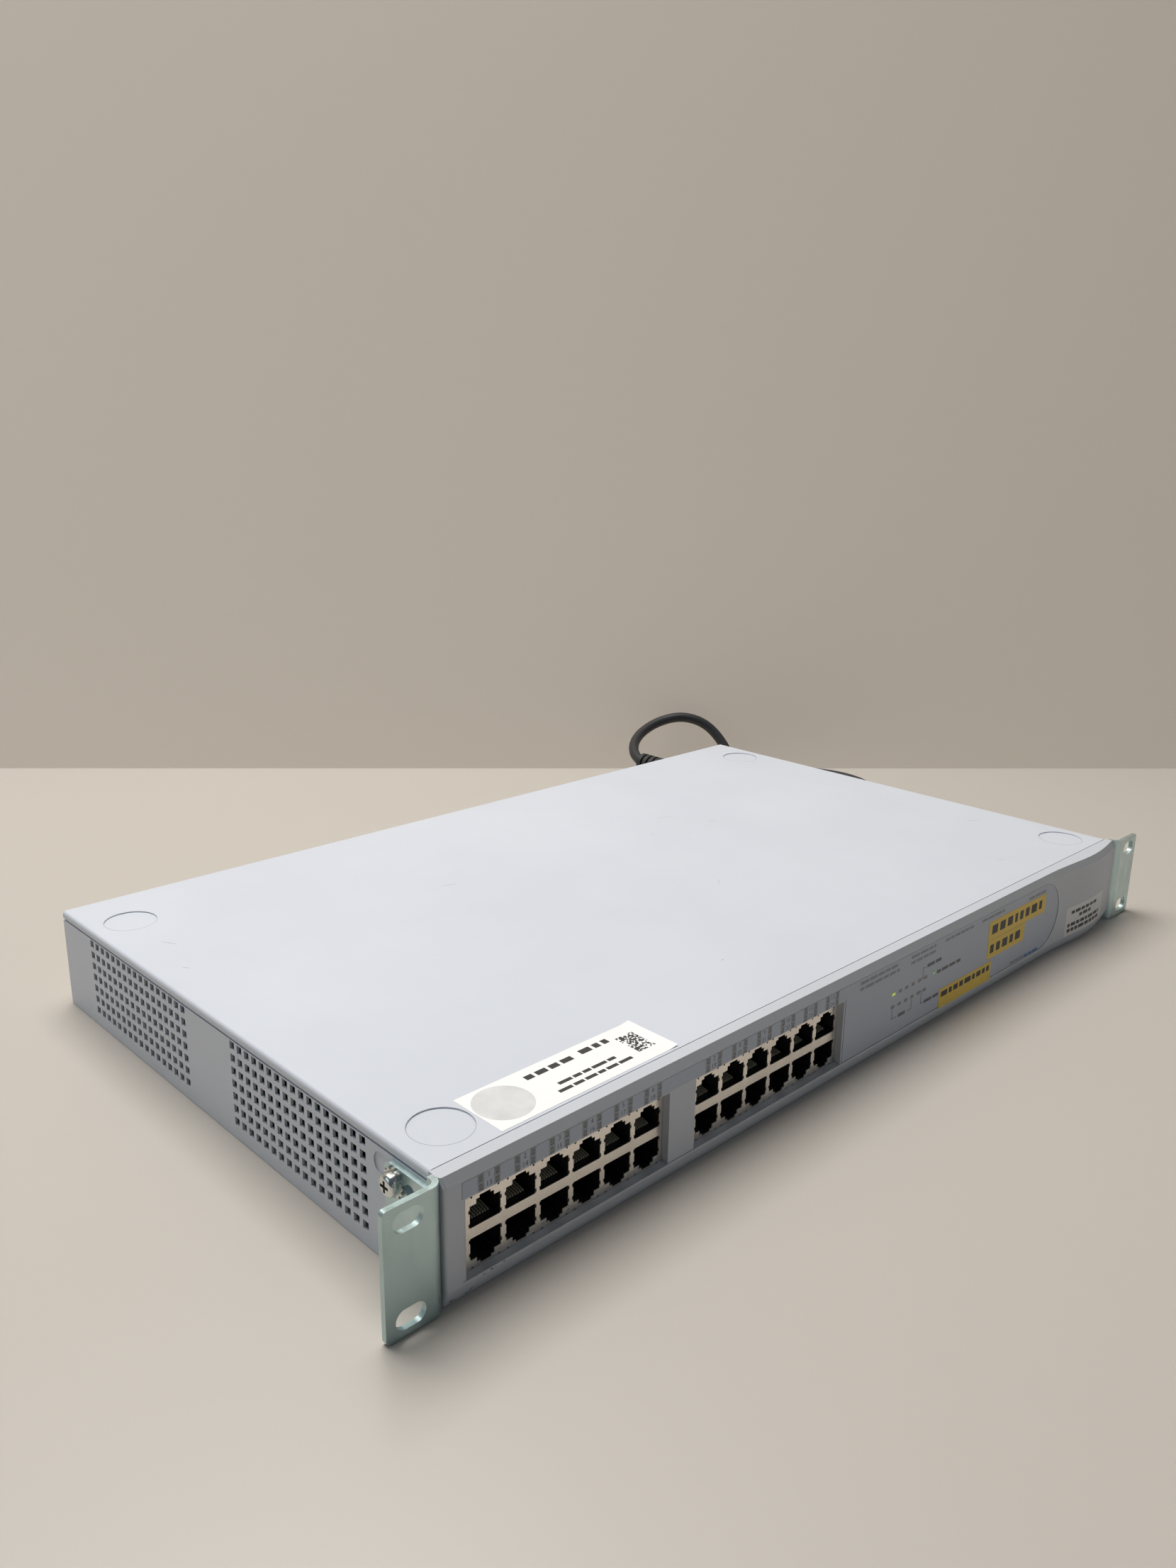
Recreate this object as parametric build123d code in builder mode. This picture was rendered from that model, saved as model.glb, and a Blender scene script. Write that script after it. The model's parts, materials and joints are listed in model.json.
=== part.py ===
from build123d import *
import os
from math import cos, degrees, pi, radians, sin, tan

# Rackmount network switch, one rack unit high, with 24 RJ45 sockets in two stacked blocks.
# X runs along the front from left to right, Y runs from the front to the rear, Z is up.
# The origin is the centre of the footprint, on the surface that the switch stands on.
# All sizes are in millimetres.

# ---------------------------------------------------------------- driving dimensions
body_width = 440.0
body_height = 43.4
body_depth = 262.0          # from the seam behind the bezel to the rear face
sheet = 1.0                 # steel sheet of the case
bezel_face = 7.5            # the bezel's flat face stands this far in front of the seam
bulge = 2.0                 # the bezel's right end swells this much further
plate = 1.2                 # thickness of the rear cover plates
knob_length = 5.0           # thumbscrew heads behind those plates

rack_width = 482.6          # 19 inch panel width over the ears
slot_spacing_x = 465.2      # between the ears' slots
slot_spacing_z = 31.75
slot_width = 6.8
slot_length = 10.6
ear_sheet = 2.0
ear_bend = 4.0              # outer radius of the bend
ear_leg_length = 27.0       # of the leg along the case's side

port_pitch = 13.97
ports_per_row = 6           # in each block
block_pitch = 100.7         # between the two blocks
block_x = -167.7            # centre of the first block
block_width = 84.8
block_low = 6.1
block_high = 32.6
block_front = 4.2           # shields stand this far in front of the seam
block_depth = 25.8
shield = 0.3
row_floor = 20.6            # floor of the upper sockets
row_ceiling = 17.0          # ceiling of the lower sockets, which are the same upside down
port_width = 11.8
port_height = 7.5
port_depth = 13.0
notch_widths = (6.8, 4.2)   # the latch's stepped notch
notch_heights = (1.5, 0.9)

pcb_top = block_low
pcb = 1.6

vent_pitch = 5.05
vent_hole = 3.2
vent_columns = 17
vent_rows = 7

inlet_x = 200.0
inlet_z = 22.0
cord_diameter = 7.0
cord_length = 1500.0
coil_turns = 5.25
coil_radius = 36.0          # at the middle of its turns
coil_layers = 2
entry_angle = 25.0          # where the lead joins the coil's outer turn, and where it leaves it
exit_angle = -65.0

# ---------------------------------------------------------------- places that follow
half_width = body_width / 2
front_y = -(body_depth + bezel_face + bulge + plate + knob_length) / 2
face_y = front_y + bulge
seam_y = face_y + bezel_face
rear_y = seam_y + body_depth
block_y = seam_y - block_front
pcb_low = pcb_top - pcb
side_inner = half_width - sheet
top_inner = body_height - sheet
blocks = (block_x, block_x + block_pitch)
block_middle = (row_floor + row_ceiling) / 2
vent_centres = (seam_y + 74.0, seam_y + 192.1)
vent_z = 22.4
fan_z = 21.6
fan_size = 40.0
fan_depth = 20.0
fan_x = side_inner - 1.4 - fan_depth / 2
fan_names = ("front", "rear")

os.makedirs("parts", exist_ok=True)


def save(name, part):
    """Labels a finished piece and writes it in the folder of pieces."""
    part.label = name
    export_step(part, "parts/" + name + ".step")


def front_plane(y):
    """A plane across the case at y: its own axes are X and Z, and it faces forwards."""
    return Plane.XZ.offset(-y)


def rear_plane(y):
    """A plane across the case at y that faces rearwards, with Z up and X to the left."""
    return Plane(origin=(0, y, 0), x_dir=(-1, 0, 0), z_dir=(0, 1, 0))


def block(x_low, x_high, y_low, y_high, z_low, z_high, mode=Mode.ADD):
    """A plain block between its limits, in the part block that is open."""
    with Locations(((x_low + x_high) / 2, (y_low + y_high) / 2, (z_low + z_high) / 2)):
        Box(x_high - x_low, y_high - y_low, z_high - z_low, mode=mode)


# ================================================================ case
# The cover is one bent sheet. Its top and bends, and its two perforated sides, are
# separate nodes that meet face to face below the bends.
bend_drop = 4.0             # the sides begin this far below the top
inner_corner = 0.6          # radius inside the bends
emboss_radius = 10.7
emboss_depth = 0.45
emboss_places = [(x, seam_y + y) for x in (-203.0, 203.0) for y in (16.3, 232.3)]

with BuildPart() as cover_top:
    with BuildSketch(front_plane(rear_y)) as section:
        with Locations((0, body_height - bend_drop / 2)):
            Rectangle(body_width, bend_drop)
        top_corners = section.vertices().group_by(Axis.Z)[-1]
        fillet(top_corners, 1.6)
        hollow = bend_drop - sheet + inner_corner
        with Locations((0, top_inner - hollow / 2)):
            RectangleRounded(2 * side_inner, hollow, inner_corner, mode=Mode.SUBTRACT)
        with Locations((0, top_inner - inner_corner - hollow / 2)):
            Rectangle(2 * side_inner, hollow, mode=Mode.SUBTRACT)
    extrude(amount=body_depth)
    with BuildSketch(Plane.XY.offset(top_inner - emboss_depth)):
        with Locations(*emboss_places):
            Circle(emboss_radius + 0.6)
    extrude(amount=emboss_depth)
    with BuildSketch(Plane.XY.offset(body_height)):
        with Locations(*emboss_places):
            Circle(emboss_radius)
    extrude(amount=-emboss_depth, mode=Mode.SUBTRACT)
save("cover_top", cover_top.part)

for side, sign in (("left", -1), ("right", 1)):
    with BuildPart() as cover_side:
        outer = sign * half_width
        inner = sign * side_inner
        block(min(outer, inner), max(outer, inner), seam_y, rear_y, 0, body_height - bend_drop)
        with BuildSketch(Plane.YZ.offset(min(outer, inner) - 1)):
            with Locations(*[(y, vent_z) for y in vent_centres]):
                with GridLocations(vent_pitch, vent_pitch, vent_columns, vent_rows):
                    Rectangle(vent_hole, vent_hole)
        extrude(amount=sheet + 2, mode=Mode.SUBTRACT)
        with BuildSketch(Plane.YZ.offset(outer)):
            with Locations((seam_y + 23.5, 34.0)):
                Circle(4.2)
        extrude(amount=-sign * 0.5, mode=Mode.SUBTRACT)
    save("cover_side_" + side, cover_side.part)

with BuildPart() as base_tray:
    block(-side_inner, side_inner, seam_y, rear_y - sheet, 0, sheet)
save("base_tray", base_tray.part)

guide_slot_z = (34.6, 40.6)
with BuildPart() as front_plate:
    block(-side_inner, side_inner, seam_y, seam_y + sheet, sheet, top_inner - emboss_depth)
    for x in blocks:
        block(x - block_width / 2 - 0.3, x + block_width / 2 + 0.3, seam_y - 1, seam_y + 2,
              block_low - 0.3, block_high + 0.3, Mode.SUBTRACT)
        block(x - 41, x + 41, seam_y - 1, seam_y + 2, *guide_slot_z, Mode.SUBTRACT)
    block(8, 50, seam_y - 1, seam_y + 2, 15.0, 28.0, Mode.SUBTRACT)
save("front_plate", front_plate.part)

bay_x = (-166.0, -62.0)
bay_z = 21.5
bay_cutout = (76.0, 28.0)
bay_plate = (98.0, 35.0)
thumb_offset = 43.5
thumb_hole = 1.58
console_x = 30.0
console_z = 21.5
inlet_cutout = (27.4, 20.4)
cover_screw_x = (-114.0, 60.0, 160.0)
cover_screw_z = 39.3
with BuildPart() as rear_panel:
    block(-side_inner, side_inner, rear_y - sheet, rear_y, 0, top_inner)
    with BuildSketch(front_plane(rear_y + 1)):
        with Locations(*[(x, bay_z) for x in bay_x]):
            Rectangle(*bay_cutout)
            with Locations((-thumb_offset, 0), (thumb_offset, 0)):
                Circle(thumb_hole)
        with Locations((inlet_x, inlet_z)):
            Rectangle(*inlet_cutout)
        with Locations((console_x, console_z)):
            Rectangle(19.4, 10.8)
        with Locations(*[(x, cover_screw_z) for x in cover_screw_x]):
            Circle(1.5)
    extrude(amount=sheet + 2, mode=Mode.SUBTRACT)
save("rear_panel", rear_panel.part)


def pan_screw_row(places, head_radius, head_height, shank_radius, shank_length, plane_of):
    """Pan head screws with a cross recess. Each place is (plane argument, x, y)."""
    with BuildPart() as screws:
        for where, x, y in places:
            plane = plane_of(where)
            with BuildSketch(plane):
                with Locations((x, y)):
                    Circle(head_radius)
            extrude(amount=head_height)
            with BuildSketch(plane):
                with Locations((x, y)):
                    Circle(shank_radius)
            extrude(amount=-shank_length)
            with BuildSketch(plane.offset(head_height)):
                with Locations((x, y)):
                    Rectangle(head_radius * 1.15, head_radius * 0.3)
                    Rectangle(head_radius * 0.3, head_radius * 1.15)
            extrude(amount=-head_height * 0.6, mode=Mode.SUBTRACT)
    return screws.part


# ================================================================ front bezel
recess = 0.4
recess_left = -213.8
recess_low = 6.5
recess_high = 40.2
round_x = 140.0
round_radius = (recess_high - recess_low) / 2
round_z = (recess_high + recess_low) / 2
window_left = 2.3           # the windows are wider than the blocks on the left
window_right = 0.3
window_low = 6.5
window_high = 33.8
overlay = 0.25
strip_low = 34.4
tip_size = (1.6, 2.0)
tip_spacing = (6.2, 2.9)
tip_z = 37.0
tip_shift = -0.95           # the tips stand a little left of their socket's middle
status_z = (25.2, 19.4)
status_x = 11.2             # first of six in each row; the upper row has one more, further on
status_pitch = 4.9
status_columns = 6
power_light_x = 42.0
status_places = [(status_x + i * status_pitch, z) for z in status_z for i in range(status_columns)]
status_places = status_places + [(power_light_x, status_z[0])]
status_tip = (2.6, 1.5)
bezel_wall = 2.0
seam_chamfer = 0.35         # leaves a fine groove between cover and bezel


def block_tips(x):
    """Places of one block's indicator tips: two above and two below for each column."""
    with Locations((x + tip_shift, tip_z)):
        with GridLocations(port_pitch, 0, ports_per_row, 1):
            with GridLocations(*tip_spacing, 2, 2):
                Rectangle(*tip_size)


def status_tips():
    """The status indicators, in two rows that start at the same place."""
    with Locations(*status_places):
        Rectangle(*status_tip)


with BuildPart() as front_bezel:
    with BuildSketch():
        with BuildLine():
            Line((-half_width, seam_y), (-half_width, face_y))
            Line((-half_width, face_y), (150, face_y))
            Spline(
                (150, face_y),
                (171, face_y - 0.55 * bulge),
                (189, face_y - bulge),
                (207, face_y - 0.35 * bulge),
                (half_width, face_y + 0.8 * bulge),
                tangents=[(1, 0), (1, 0.19)],
            )
            Line((half_width, face_y + 0.8 * bulge), (half_width, seam_y))
            Line((half_width, seam_y), (-half_width, seam_y))
        make_face()
    extrude(amount=body_height)
    top_face = front_bezel.faces().sort_by(Axis.Z)[-1]
    top_front = top_face.edges().filter_by(lambda e: e.center().Y < seam_y - 4.5)
    chamfer(top_front, 2.2, 2.6, reference=top_face)
    at_seam = front_bezel.edges().filter_by(lambda e: e.center().Y > seam_y - 0.01)
    chamfer(at_seam.sort_by(Axis.Z)[-1], seam_chamfer)
    bottom_face = front_bezel.faces().sort_by(Axis.Z)[0]
    bottom_front = bottom_face.edges().filter_by(lambda e: e.center().Y < seam_y - 4.5)
    chamfer(bottom_front, 2.1, 5.6, reference=bottom_face)
    left_face = front_bezel.faces().sort_by(Axis.X)[0]
    left_front = left_face.edges().filter_by(lambda e: e.center().Y < seam_y - 4.5)
    fillet(left_front, 1.0)
    with BuildSketch(front_plane(front_y)):
        with Locations(((recess_left + round_x) / 2, round_z)):
            Rectangle(round_x - recess_left, recess_high - recess_low)
        with Locations((round_x, round_z)):
            Circle(round_radius)
    extrude(amount=-(bulge + recess), mode=Mode.SUBTRACT)
    for x in blocks:
        block(x - block_width / 2 - window_left, x + block_width / 2 + window_right,
              front_y - 1, seam_y + 1, window_low, window_high, Mode.SUBTRACT)
        block(x - block_width / 2 - 0.3, x + block_width / 2 + 0.3,
              block_y - 0.1, seam_y + 1, block_low - 0.1, window_high, Mode.SUBTRACT)
    with BuildSketch(front_plane(seam_y)):
        with Locations((97, block_middle + 1.5)):
            Rectangle(236, 32)
    extrude(amount=bezel_face - bezel_wall, mode=Mode.SUBTRACT)
    with BuildSketch(front_plane(seam_y + 1)):
        for x in blocks:
            block_tips(x)
        status_tips()
    extrude(amount=bezel_face + 2, mode=Mode.SUBTRACT)
save("front_bezel", front_bezel.part)

# The printed film: a strip above the sockets and a field with a round end beside them.
field_left = blocks[1] + block_width / 2 + window_right + 0.9
overlay_gap = 0.3
with BuildPart() as overlay_label:
    with BuildSketch(front_plane(face_y + recess)):
        strip_high = recess_high - overlay_gap
        with Locations(((recess_left + round_x) / 2 + overlay_gap, (strip_low + strip_high) / 2)):
            Rectangle(round_x - recess_left, strip_high - strip_low)
        with Locations(((field_left + round_x) / 2, round_z)):
            Rectangle(round_x - field_left, 2 * (round_radius - overlay_gap))
        with Locations((round_x, round_z)):
            Circle(round_radius - overlay_gap)
        with Locations((round_x, round_z)):
            with Locations((20 + round_radius - overlay_gap, 0)):
                Rectangle(40, 40, mode=Mode.SUBTRACT)
    extrude(amount=overlay)
    with BuildSketch(front_plane(face_y - 1)):
        for x in blocks:
            block_tips(x)
        status_tips()
    extrude(amount=-3, mode=Mode.SUBTRACT)
save("overlay_label", overlay_label.part)

tip_y = face_y + recess - overlay + 0.05
guide_back = seam_y + 29.0
guide_rod = (1.4, 1.6)
with BuildPart() as port_light_guides:
    for x in blocks:
        for level in (0, 1):
            rod_z = tip_z + (level - 0.5) * tip_spacing[1]
            rod_end = guide_back + level * 3.2
            with BuildSketch(front_plane(rod_end)):
                with Locations((x + tip_shift, rod_z)):
                    with GridLocations(port_pitch, 0, ports_per_row, 1):
                        with GridLocations(tip_spacing[0], 0, 2, 1):
                            Rectangle(*guide_rod)
            extrude(amount=rod_end - tip_y)
            with BuildSketch(Plane.XY.offset(rod_z + guide_rod[1] / 2)):
                with Locations((x + tip_shift, rod_end - guide_rod[1] / 2)):
                    with GridLocations(port_pitch, 0, ports_per_row, 1):
                        with GridLocations(tip_spacing[0], 0, 2, 1):
                            Rectangle(guide_rod[0], guide_rod[1])
            extrude(amount=pcb_top + 1.0 - rod_z)
        for y in (seam_y + 6, seam_y + 24):
            block(x - 39.8, x + 38.4, y, y + 2, tip_z - 0.9, tip_z + 0.9)
save("port_light_guides", port_light_guides.part)

with BuildPart() as status_light_guide:
    bar_back = seam_y + 8.0
    with BuildSketch(front_plane(bar_back)):
        with Locations(*status_places):
            Rectangle(status_tip[0] - 0.2, status_tip[1] - 0.2)
    extrude(amount=bar_back - tip_y)
    block(status_x - 2, power_light_x + 2, bar_back - 2, bar_back, pcb_top + 0.6, status_z[0] + 1.6)
save("status_light_guide", status_light_guide.part)

# ================================================================ socket blocks


def socket_outlines(x, grow):
    """The twelve socket openings of a block, latch notches outwards, in the open sketch."""
    for direction, level in ((1, row_floor), (-1, row_ceiling)):
        with Locations((x, level)):
            with GridLocations(port_pitch, 0, ports_per_row, 1):
                with Locations((0, direction * port_height / 2)):
                    Rectangle(port_width + grow, port_height + grow)
                first = port_height + notch_heights[0] / 2
                with Locations((0, direction * first)):
                    Rectangle(notch_widths[0] + grow, notch_heights[0] + grow)
                second = port_height + notch_heights[0] + notch_heights[1] / 2
                with Locations((0, direction * second)):
                    Rectangle(notch_widths[1] + grow, notch_heights[1] + grow)


def finger_notches(x):
    """Small notches beside the openings, where the shield's spring fingers are cut."""
    for direction, level in ((1, row_floor), (-1, row_ceiling)):
        with Locations((x, level)):
            with GridLocations(port_pitch, 0, ports_per_row, 1):
                with Locations((0, direction * 1.0), (0, direction * 5.6)):
                    Rectangle(port_width + 1.0, 1.3)


def shield_holes(x):
    """The round locating holes in the shield's face, near its top and bottom edges."""
    for z in (block_middle + 12.2, block_middle - 12.2):
        with Locations((x, z)):
            with GridLocations(port_pitch, 0, ports_per_row, 1):
                with Locations((-5.2, 0), (5.2, 0)):
                    Circle(0.4)


for name, x in zip(("left", "right"), blocks):
    low_x = x - block_width / 2
    high_x = x + block_width / 2
    block_back = block_y + block_depth
    with BuildPart() as jack_shield:
        block(low_x, high_x, block_y, block_back, block_low, block_high)
        block(low_x + shield, high_x - shield, block_y + shield, block_back + 1,
              block_low + shield, block_high - shield, Mode.SUBTRACT)
        with BuildSketch(front_plane(block_y - 0.5)):
            socket_outlines(x, 0)
            finger_notches(x)
            shield_holes(x)
        extrude(amount=-1.5, mode=Mode.SUBTRACT)
    save("jack_shield_" + name, jack_shield.part)

    with BuildPart() as jack_housing:
        block(low_x + shield, high_x - shield, block_y + shield, block_back - 0.4,
              block_low + shield, block_high - shield)
        with BuildSketch(front_plane(block_y + shield)):
            socket_outlines(x, 0)
        extrude(amount=-port_depth, mode=Mode.SUBTRACT)
    save("jack_housing_" + name, jack_housing.part)

# Eight wires stand in each socket: a bent strip is cut into wires in one go.
contact_low = 0.35          # front bend above the socket's floor
contact_high = 2.6          # free tip, at the back
contact_pitch = 1.02
contact_width = 0.46
contact_thick = 0.4
contact_front = block_y + 3.6
contact_reach = 8.6
with BuildPart() as jack_contacts:
    for x in blocks:
        strip_width = ports_per_row * port_pitch
        for direction, level in ((1, row_floor), (-1, row_ceiling)):
            near = level + direction * contact_low
            far = level + direction * contact_high
            step = direction * contact_thick
            with BuildSketch(Plane.YZ.offset(x - strip_width / 2)):
                Polygon(
                    (contact_front, near),
                    (contact_front + contact_reach, far),
                    (contact_front + contact_reach, far + step),
                    (contact_front - 0.5, near + step * 1.25),
                    (contact_front - 0.5, near),
                    align=None,
                )
            extrude(amount=strip_width)
    with BuildSketch(Plane.XY.offset(block_low)):
        for x in blocks:
            with Locations((x, contact_front + contact_reach / 2)):
                with GridLocations(port_pitch, 0, ports_per_row, 1):
                    with GridLocations(contact_pitch, 0, 8, 1):
                        Rectangle(contact_width, 2 * contact_reach)
    extrude(amount=block_high - block_low, mode=Mode.INTERSECT)
save("jack_contacts", jack_contacts.part)

# ================================================================ main circuit board
pcb_left = -212.0
pcb_right = 190.0
pcb_front = seam_y + sheet + 0.5
pcb_back = seam_y + 152.0
standoff_places = [(x, seam_y + y) for x in (-205, -112, -8, 90, 182) for y in (62, 144)]
standoff_places = standoff_places + [(70, seam_y + 8), (182, seam_y + 8)]
screw_clearance = 1.7
with BuildPart() as main_pcb:
    block(pcb_left, pcb_right, pcb_front, pcb_back, pcb_low, pcb_top)
    with BuildSketch(Plane.XY.offset(pcb_top)):
        with Locations(*standoff_places):
            Circle(screw_clearance)
    extrude(amount=-pcb, mode=Mode.SUBTRACT)
save("main_pcb", main_pcb.part)


chip_rows = (
    ("line_transformers", [(x + dx, 47.5) for x in blocks for dx in (-33, -11, 11, 33)], (17.5, 12.4, 6.2)),
    ("phy_chips", [(-190, 84), (-134, 84), (-78, 84)], (28, 28, 3.4)),
    ("memory_chips", [(50, 60), (50, 76), (74, 60), (74, 76)], (18.4, 10.2, 1.2)),
)
for name, places, (size_x, size_y, size_z) in chip_rows:
    with BuildPart() as chips:
        for x, y in places:
            block(x - size_x / 2, x + size_x / 2, seam_y + y - size_y / 2, seam_y + y + size_y / 2,
                  pcb_top, pcb_top + size_z)
        top_edges = chips.faces().group_by(Axis.Z)[-1].edges()
        chamfer(top_edges, 0.4)
    save(name, chips.part)

asic_side = 35.0
asic_height = 3.2
asic_x = -12.0
asic_y = seam_y + 84.0
with BuildPart() as switch_asic:
    half = asic_side / 2
    block(asic_x - half, asic_x + half, asic_y - half, asic_y + half, pcb_top, pcb_top + asic_height)
save("switch_asic", switch_asic.part)

fin_count = 9
sink_width = 38.0
with BuildPart() as asic_heatsink:
    sink_low = pcb_top + asic_height
    half = sink_width / 2
    block(asic_x - half, asic_x + half, asic_y - half, asic_y + half, sink_low, sink_low + 3)
    for i in range(fin_count):
        fin_x = asic_x + (i / (fin_count - 1) - 0.5) * (sink_width - 1.2)
        block(fin_x - 0.6, fin_x + 0.6, asic_y - half, asic_y + half, sink_low + 2, sink_low + 15)
save("asic_heatsink", asic_heatsink.part)

# The two sockets that the optional modules would plug into.
with BuildPart() as module_sockets:
    for x in bay_x:
        block(x - 26, x + 26, seam_y + 142, seam_y + 150, pcb_top, pcb_top + 8.6)
        block(x - 22, x + 22, seam_y + 144.4, seam_y + 151, pcb_top + 3.4, pcb_top + 5.2, Mode.SUBTRACT)
save("module_sockets", module_sockets.part)

# ================================================================ power supply
psu_low = sheet + 7.0
psu_x = (22.0, 178.0)
psu_y = (seam_y + 168.0, seam_y + 250.0)
psu_feet = [(x, y) for x in (psu_x[0] + 6, psu_x[1] - 6) for y in (psu_y[0] + 6, psu_y[1] - 6)]
with BuildPart() as psu_board:
    block(*psu_x, *psu_y, psu_low, psu_low + pcb)
    with BuildSketch(Plane.XY.offset(psu_low)):
        with Locations(*psu_feet):
            Circle(screw_clearance)
    extrude(amount=pcb, mode=Mode.SUBTRACT)
save("psu_board", psu_board.part)

psu_top = psu_low + pcb
with BuildPart() as board_standoffs:
    for places, high in ((standoff_places, pcb_low), (psu_feet, psu_low)):
        with BuildSketch(Plane.XY.offset(sheet)):
            with Locations(*places):
                Circle(3.0)
                Circle(1.5, mode=Mode.SUBTRACT)
        extrude(amount=high - sheet)
save("board_standoffs", board_standoffs.part)

board_screw_places = [(pcb_top, x, y) for x, y in standoff_places]
board_screw_places = board_screw_places + [(psu_top, x, y) for x, y in psu_feet]
save("board_screws", pan_screw_row(board_screw_places, 2.8, 2.0, 1.45, 4.5, Plane.XY.offset))

with BuildPart() as psu_transformer:
    block(84, 118, psu_y[0] + 28, psu_y[0] + 60, psu_top, psu_top + 4)
    block(88, 114, psu_y[0] + 32, psu_y[0] + 56, psu_top + 4, psu_top + 20)
    block(84, 118, psu_y[0] + 28, psu_y[0] + 60, psu_top + 20, psu_top + 23)
    with Locations((101, psu_y[0] + 44, psu_top + 12)):
        Cylinder(14.5, 15)
save("psu_transformer", psu_transformer.part)

with BuildPart() as psu_bulk_capacitor:
    with BuildSketch(Plane.YZ.offset(128)):
        with Locations((psu_y[0] + 44, psu_top + 11)):
            Circle(11)
    extrude(amount=32)
    fillet(psu_bulk_capacitor.edges().filter_by(GeomType.CIRCLE), 1.2)
save("psu_bulk_capacitor", psu_bulk_capacitor.part)

board_cans = [(x, seam_y + 128) for x in (-150, -128, -106, 48, 70, 92)]
psu_cans = [(x, psu_y[0] + y) for x in (52, 66) for y in (26, 44)]
with BuildPart() as electrolytic_capacitors:
    for base, places, radius, height in ((pcb_top, board_cans, 4.0, 11.5), (psu_top, psu_cans, 5.0, 20.0)):
        with BuildSketch(Plane.XY.offset(base)):
            with Locations(*places):
                Circle(radius)
        extrude(amount=height)
        fillet(electrolytic_capacitors.faces().group_by(Axis.Z)[-1].edges(), 0.6)
save("electrolytic_capacitors", electrolytic_capacitors.part)

with BuildPart() as psu_heatsinks:
    for low in (psu_y[0] + 14, psu_y[0] + 66):
        block(44, 118, low, low + 3, psu_top, psu_top + 26)
        block(44, 118, low + 3, low + 8, psu_top + 23.5, psu_top + 26)
save("psu_heatsinks", psu_heatsinks.part)

with BuildPart() as line_filter_choke:
    with Locations((148, psu_y[0] + 68, psu_top + 10)):
        Torus(6.4, 3.4, rotation=(90, 0, 0))
    block(140, 156, psu_y[0] + 63.4, psu_y[0] + 72.6, psu_top, psu_top + 3.0)
save("line_filter_choke", line_filter_choke.part)

# The lead from the supply to the main board: a flat bundle with a connector at each end.
harness_x = 60.0
with BuildPart() as dc_harness:
    with BuildLine(Plane.YZ.offset(harness_x)):
        run = FilletPolyline(
            (psu_y[0] + 6, psu_top + 9.0),
            (psu_y[0] + 6, psu_top + 17.0),
            (pcb_back - 6, psu_top + 17.0),
            (pcb_back - 6, pcb_top + 9.0),
            radius=5.5,
        )
    with BuildSketch(Plane.XY.offset(psu_top + 9.0)):
        with Locations((harness_x, psu_y[0] + 6)):
            RectangleRounded(12, 3.2, 1.5)
    sweep(path=run)
    block(harness_x - 7.5, harness_x + 7.5, psu_y[0] + 3, psu_y[0] + 9, psu_top, psu_top + 9.0)
    block(harness_x - 7.5, harness_x + 7.5, pcb_back - 9, pcb_back - 3, pcb_top, pcb_top + 9.0)
save("dc_harness", dc_harness.part)

# ================================================================ fans
fan_plane_x = fan_x - fan_depth / 2
duct_radius = 18.9
motor_radius = 8.5
shaft_radius = 1.48
bore_radius = 1.52
bracket_x = fan_plane_x - sheet
with BuildPart() as fan_bracket:
    block(bracket_x, fan_plane_x, vent_centres[0] - 24, vent_centres[1] + 24, sheet, 41.0)
    block(bracket_x - 4.5, bracket_x, vent_centres[0] + 22, vent_centres[1] - 22, sheet, 2 * sheet)
    with BuildSketch(Plane.YZ.offset(bracket_x - 1)):
        with Locations(*[(y, fan_z) for y in vent_centres]):
            Circle(duct_radius)
            with GridLocations(32, 32, 2, 2):
                Circle(1.75)
    extrude(amount=sheet + 2, mode=Mode.SUBTRACT)
save("fan_bracket", fan_bracket.part)

fan_screw_places = [(y + dy, fan_z + dz) for y in vent_centres for dy in (-16, 16) for dz in (-16, 16)]
bracket_face = Plane(origin=(bracket_x, 0, 0), x_dir=(0, -1, 0), z_dir=(-1, 0, 0))
save("fan_screws", pan_screw_row([(0, -y, z) for y, z in fan_screw_places], 2.9, 1.8, 1.5, 6.0,
                                 bracket_face.offset))

for name, fan_y in zip(fan_names, vent_centres):
    fan_face = Plane(origin=(fan_plane_x, fan_y, fan_z), x_dir=(0, 1, 0), z_dir=(1, 0, 0))
    with BuildPart() as fan_frame:
        with BuildSketch(fan_face):
            RectangleRounded(fan_size, fan_size, 3.0)
            Circle(duct_radius, mode=Mode.SUBTRACT)
            with GridLocations(32, 32, 2, 2):
                Circle(1.5, mode=Mode.SUBTRACT)
        extrude(amount=fan_depth)
        with BuildSketch(fan_face):
            Circle(motor_radius)
            with PolarLocations(0, 4, start_angle=45):
                with Locations((duct_radius / 2 + 0.5, 0)):
                    Rectangle(duct_radius + 1.0, 2.4)
        extrude(amount=2.0)
        with BuildSketch(fan_face):
            Circle(3.4)
        extrude(amount=11.0)
        with BuildSketch(fan_face):
            Circle(bore_radius)
        extrude(amount=11.0, mode=Mode.SUBTRACT)
    save("fan_frame_" + name, fan_frame.part)

    with BuildPart() as fan_rotor:
        with Locations(fan_face):
            with Locations((0, 0, 9.9)):
                Cylinder(8.3, 13.8)
            with Locations((0, 0, 8.9)):
                Cylinder(6.9, 12.0, mode=Mode.SUBTRACT)
            with Locations((0, 0, 8.2)):
                Cylinder(shaft_radius, 15.0)
            with Locations((0, 0, 9.9)):
                with PolarLocations(12.9, 7):
                    Box(10.6, 1.1, 13.4, rotation=(38, 0, 0))
    save("fan_rotor_" + name, fan_rotor.part)

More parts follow.
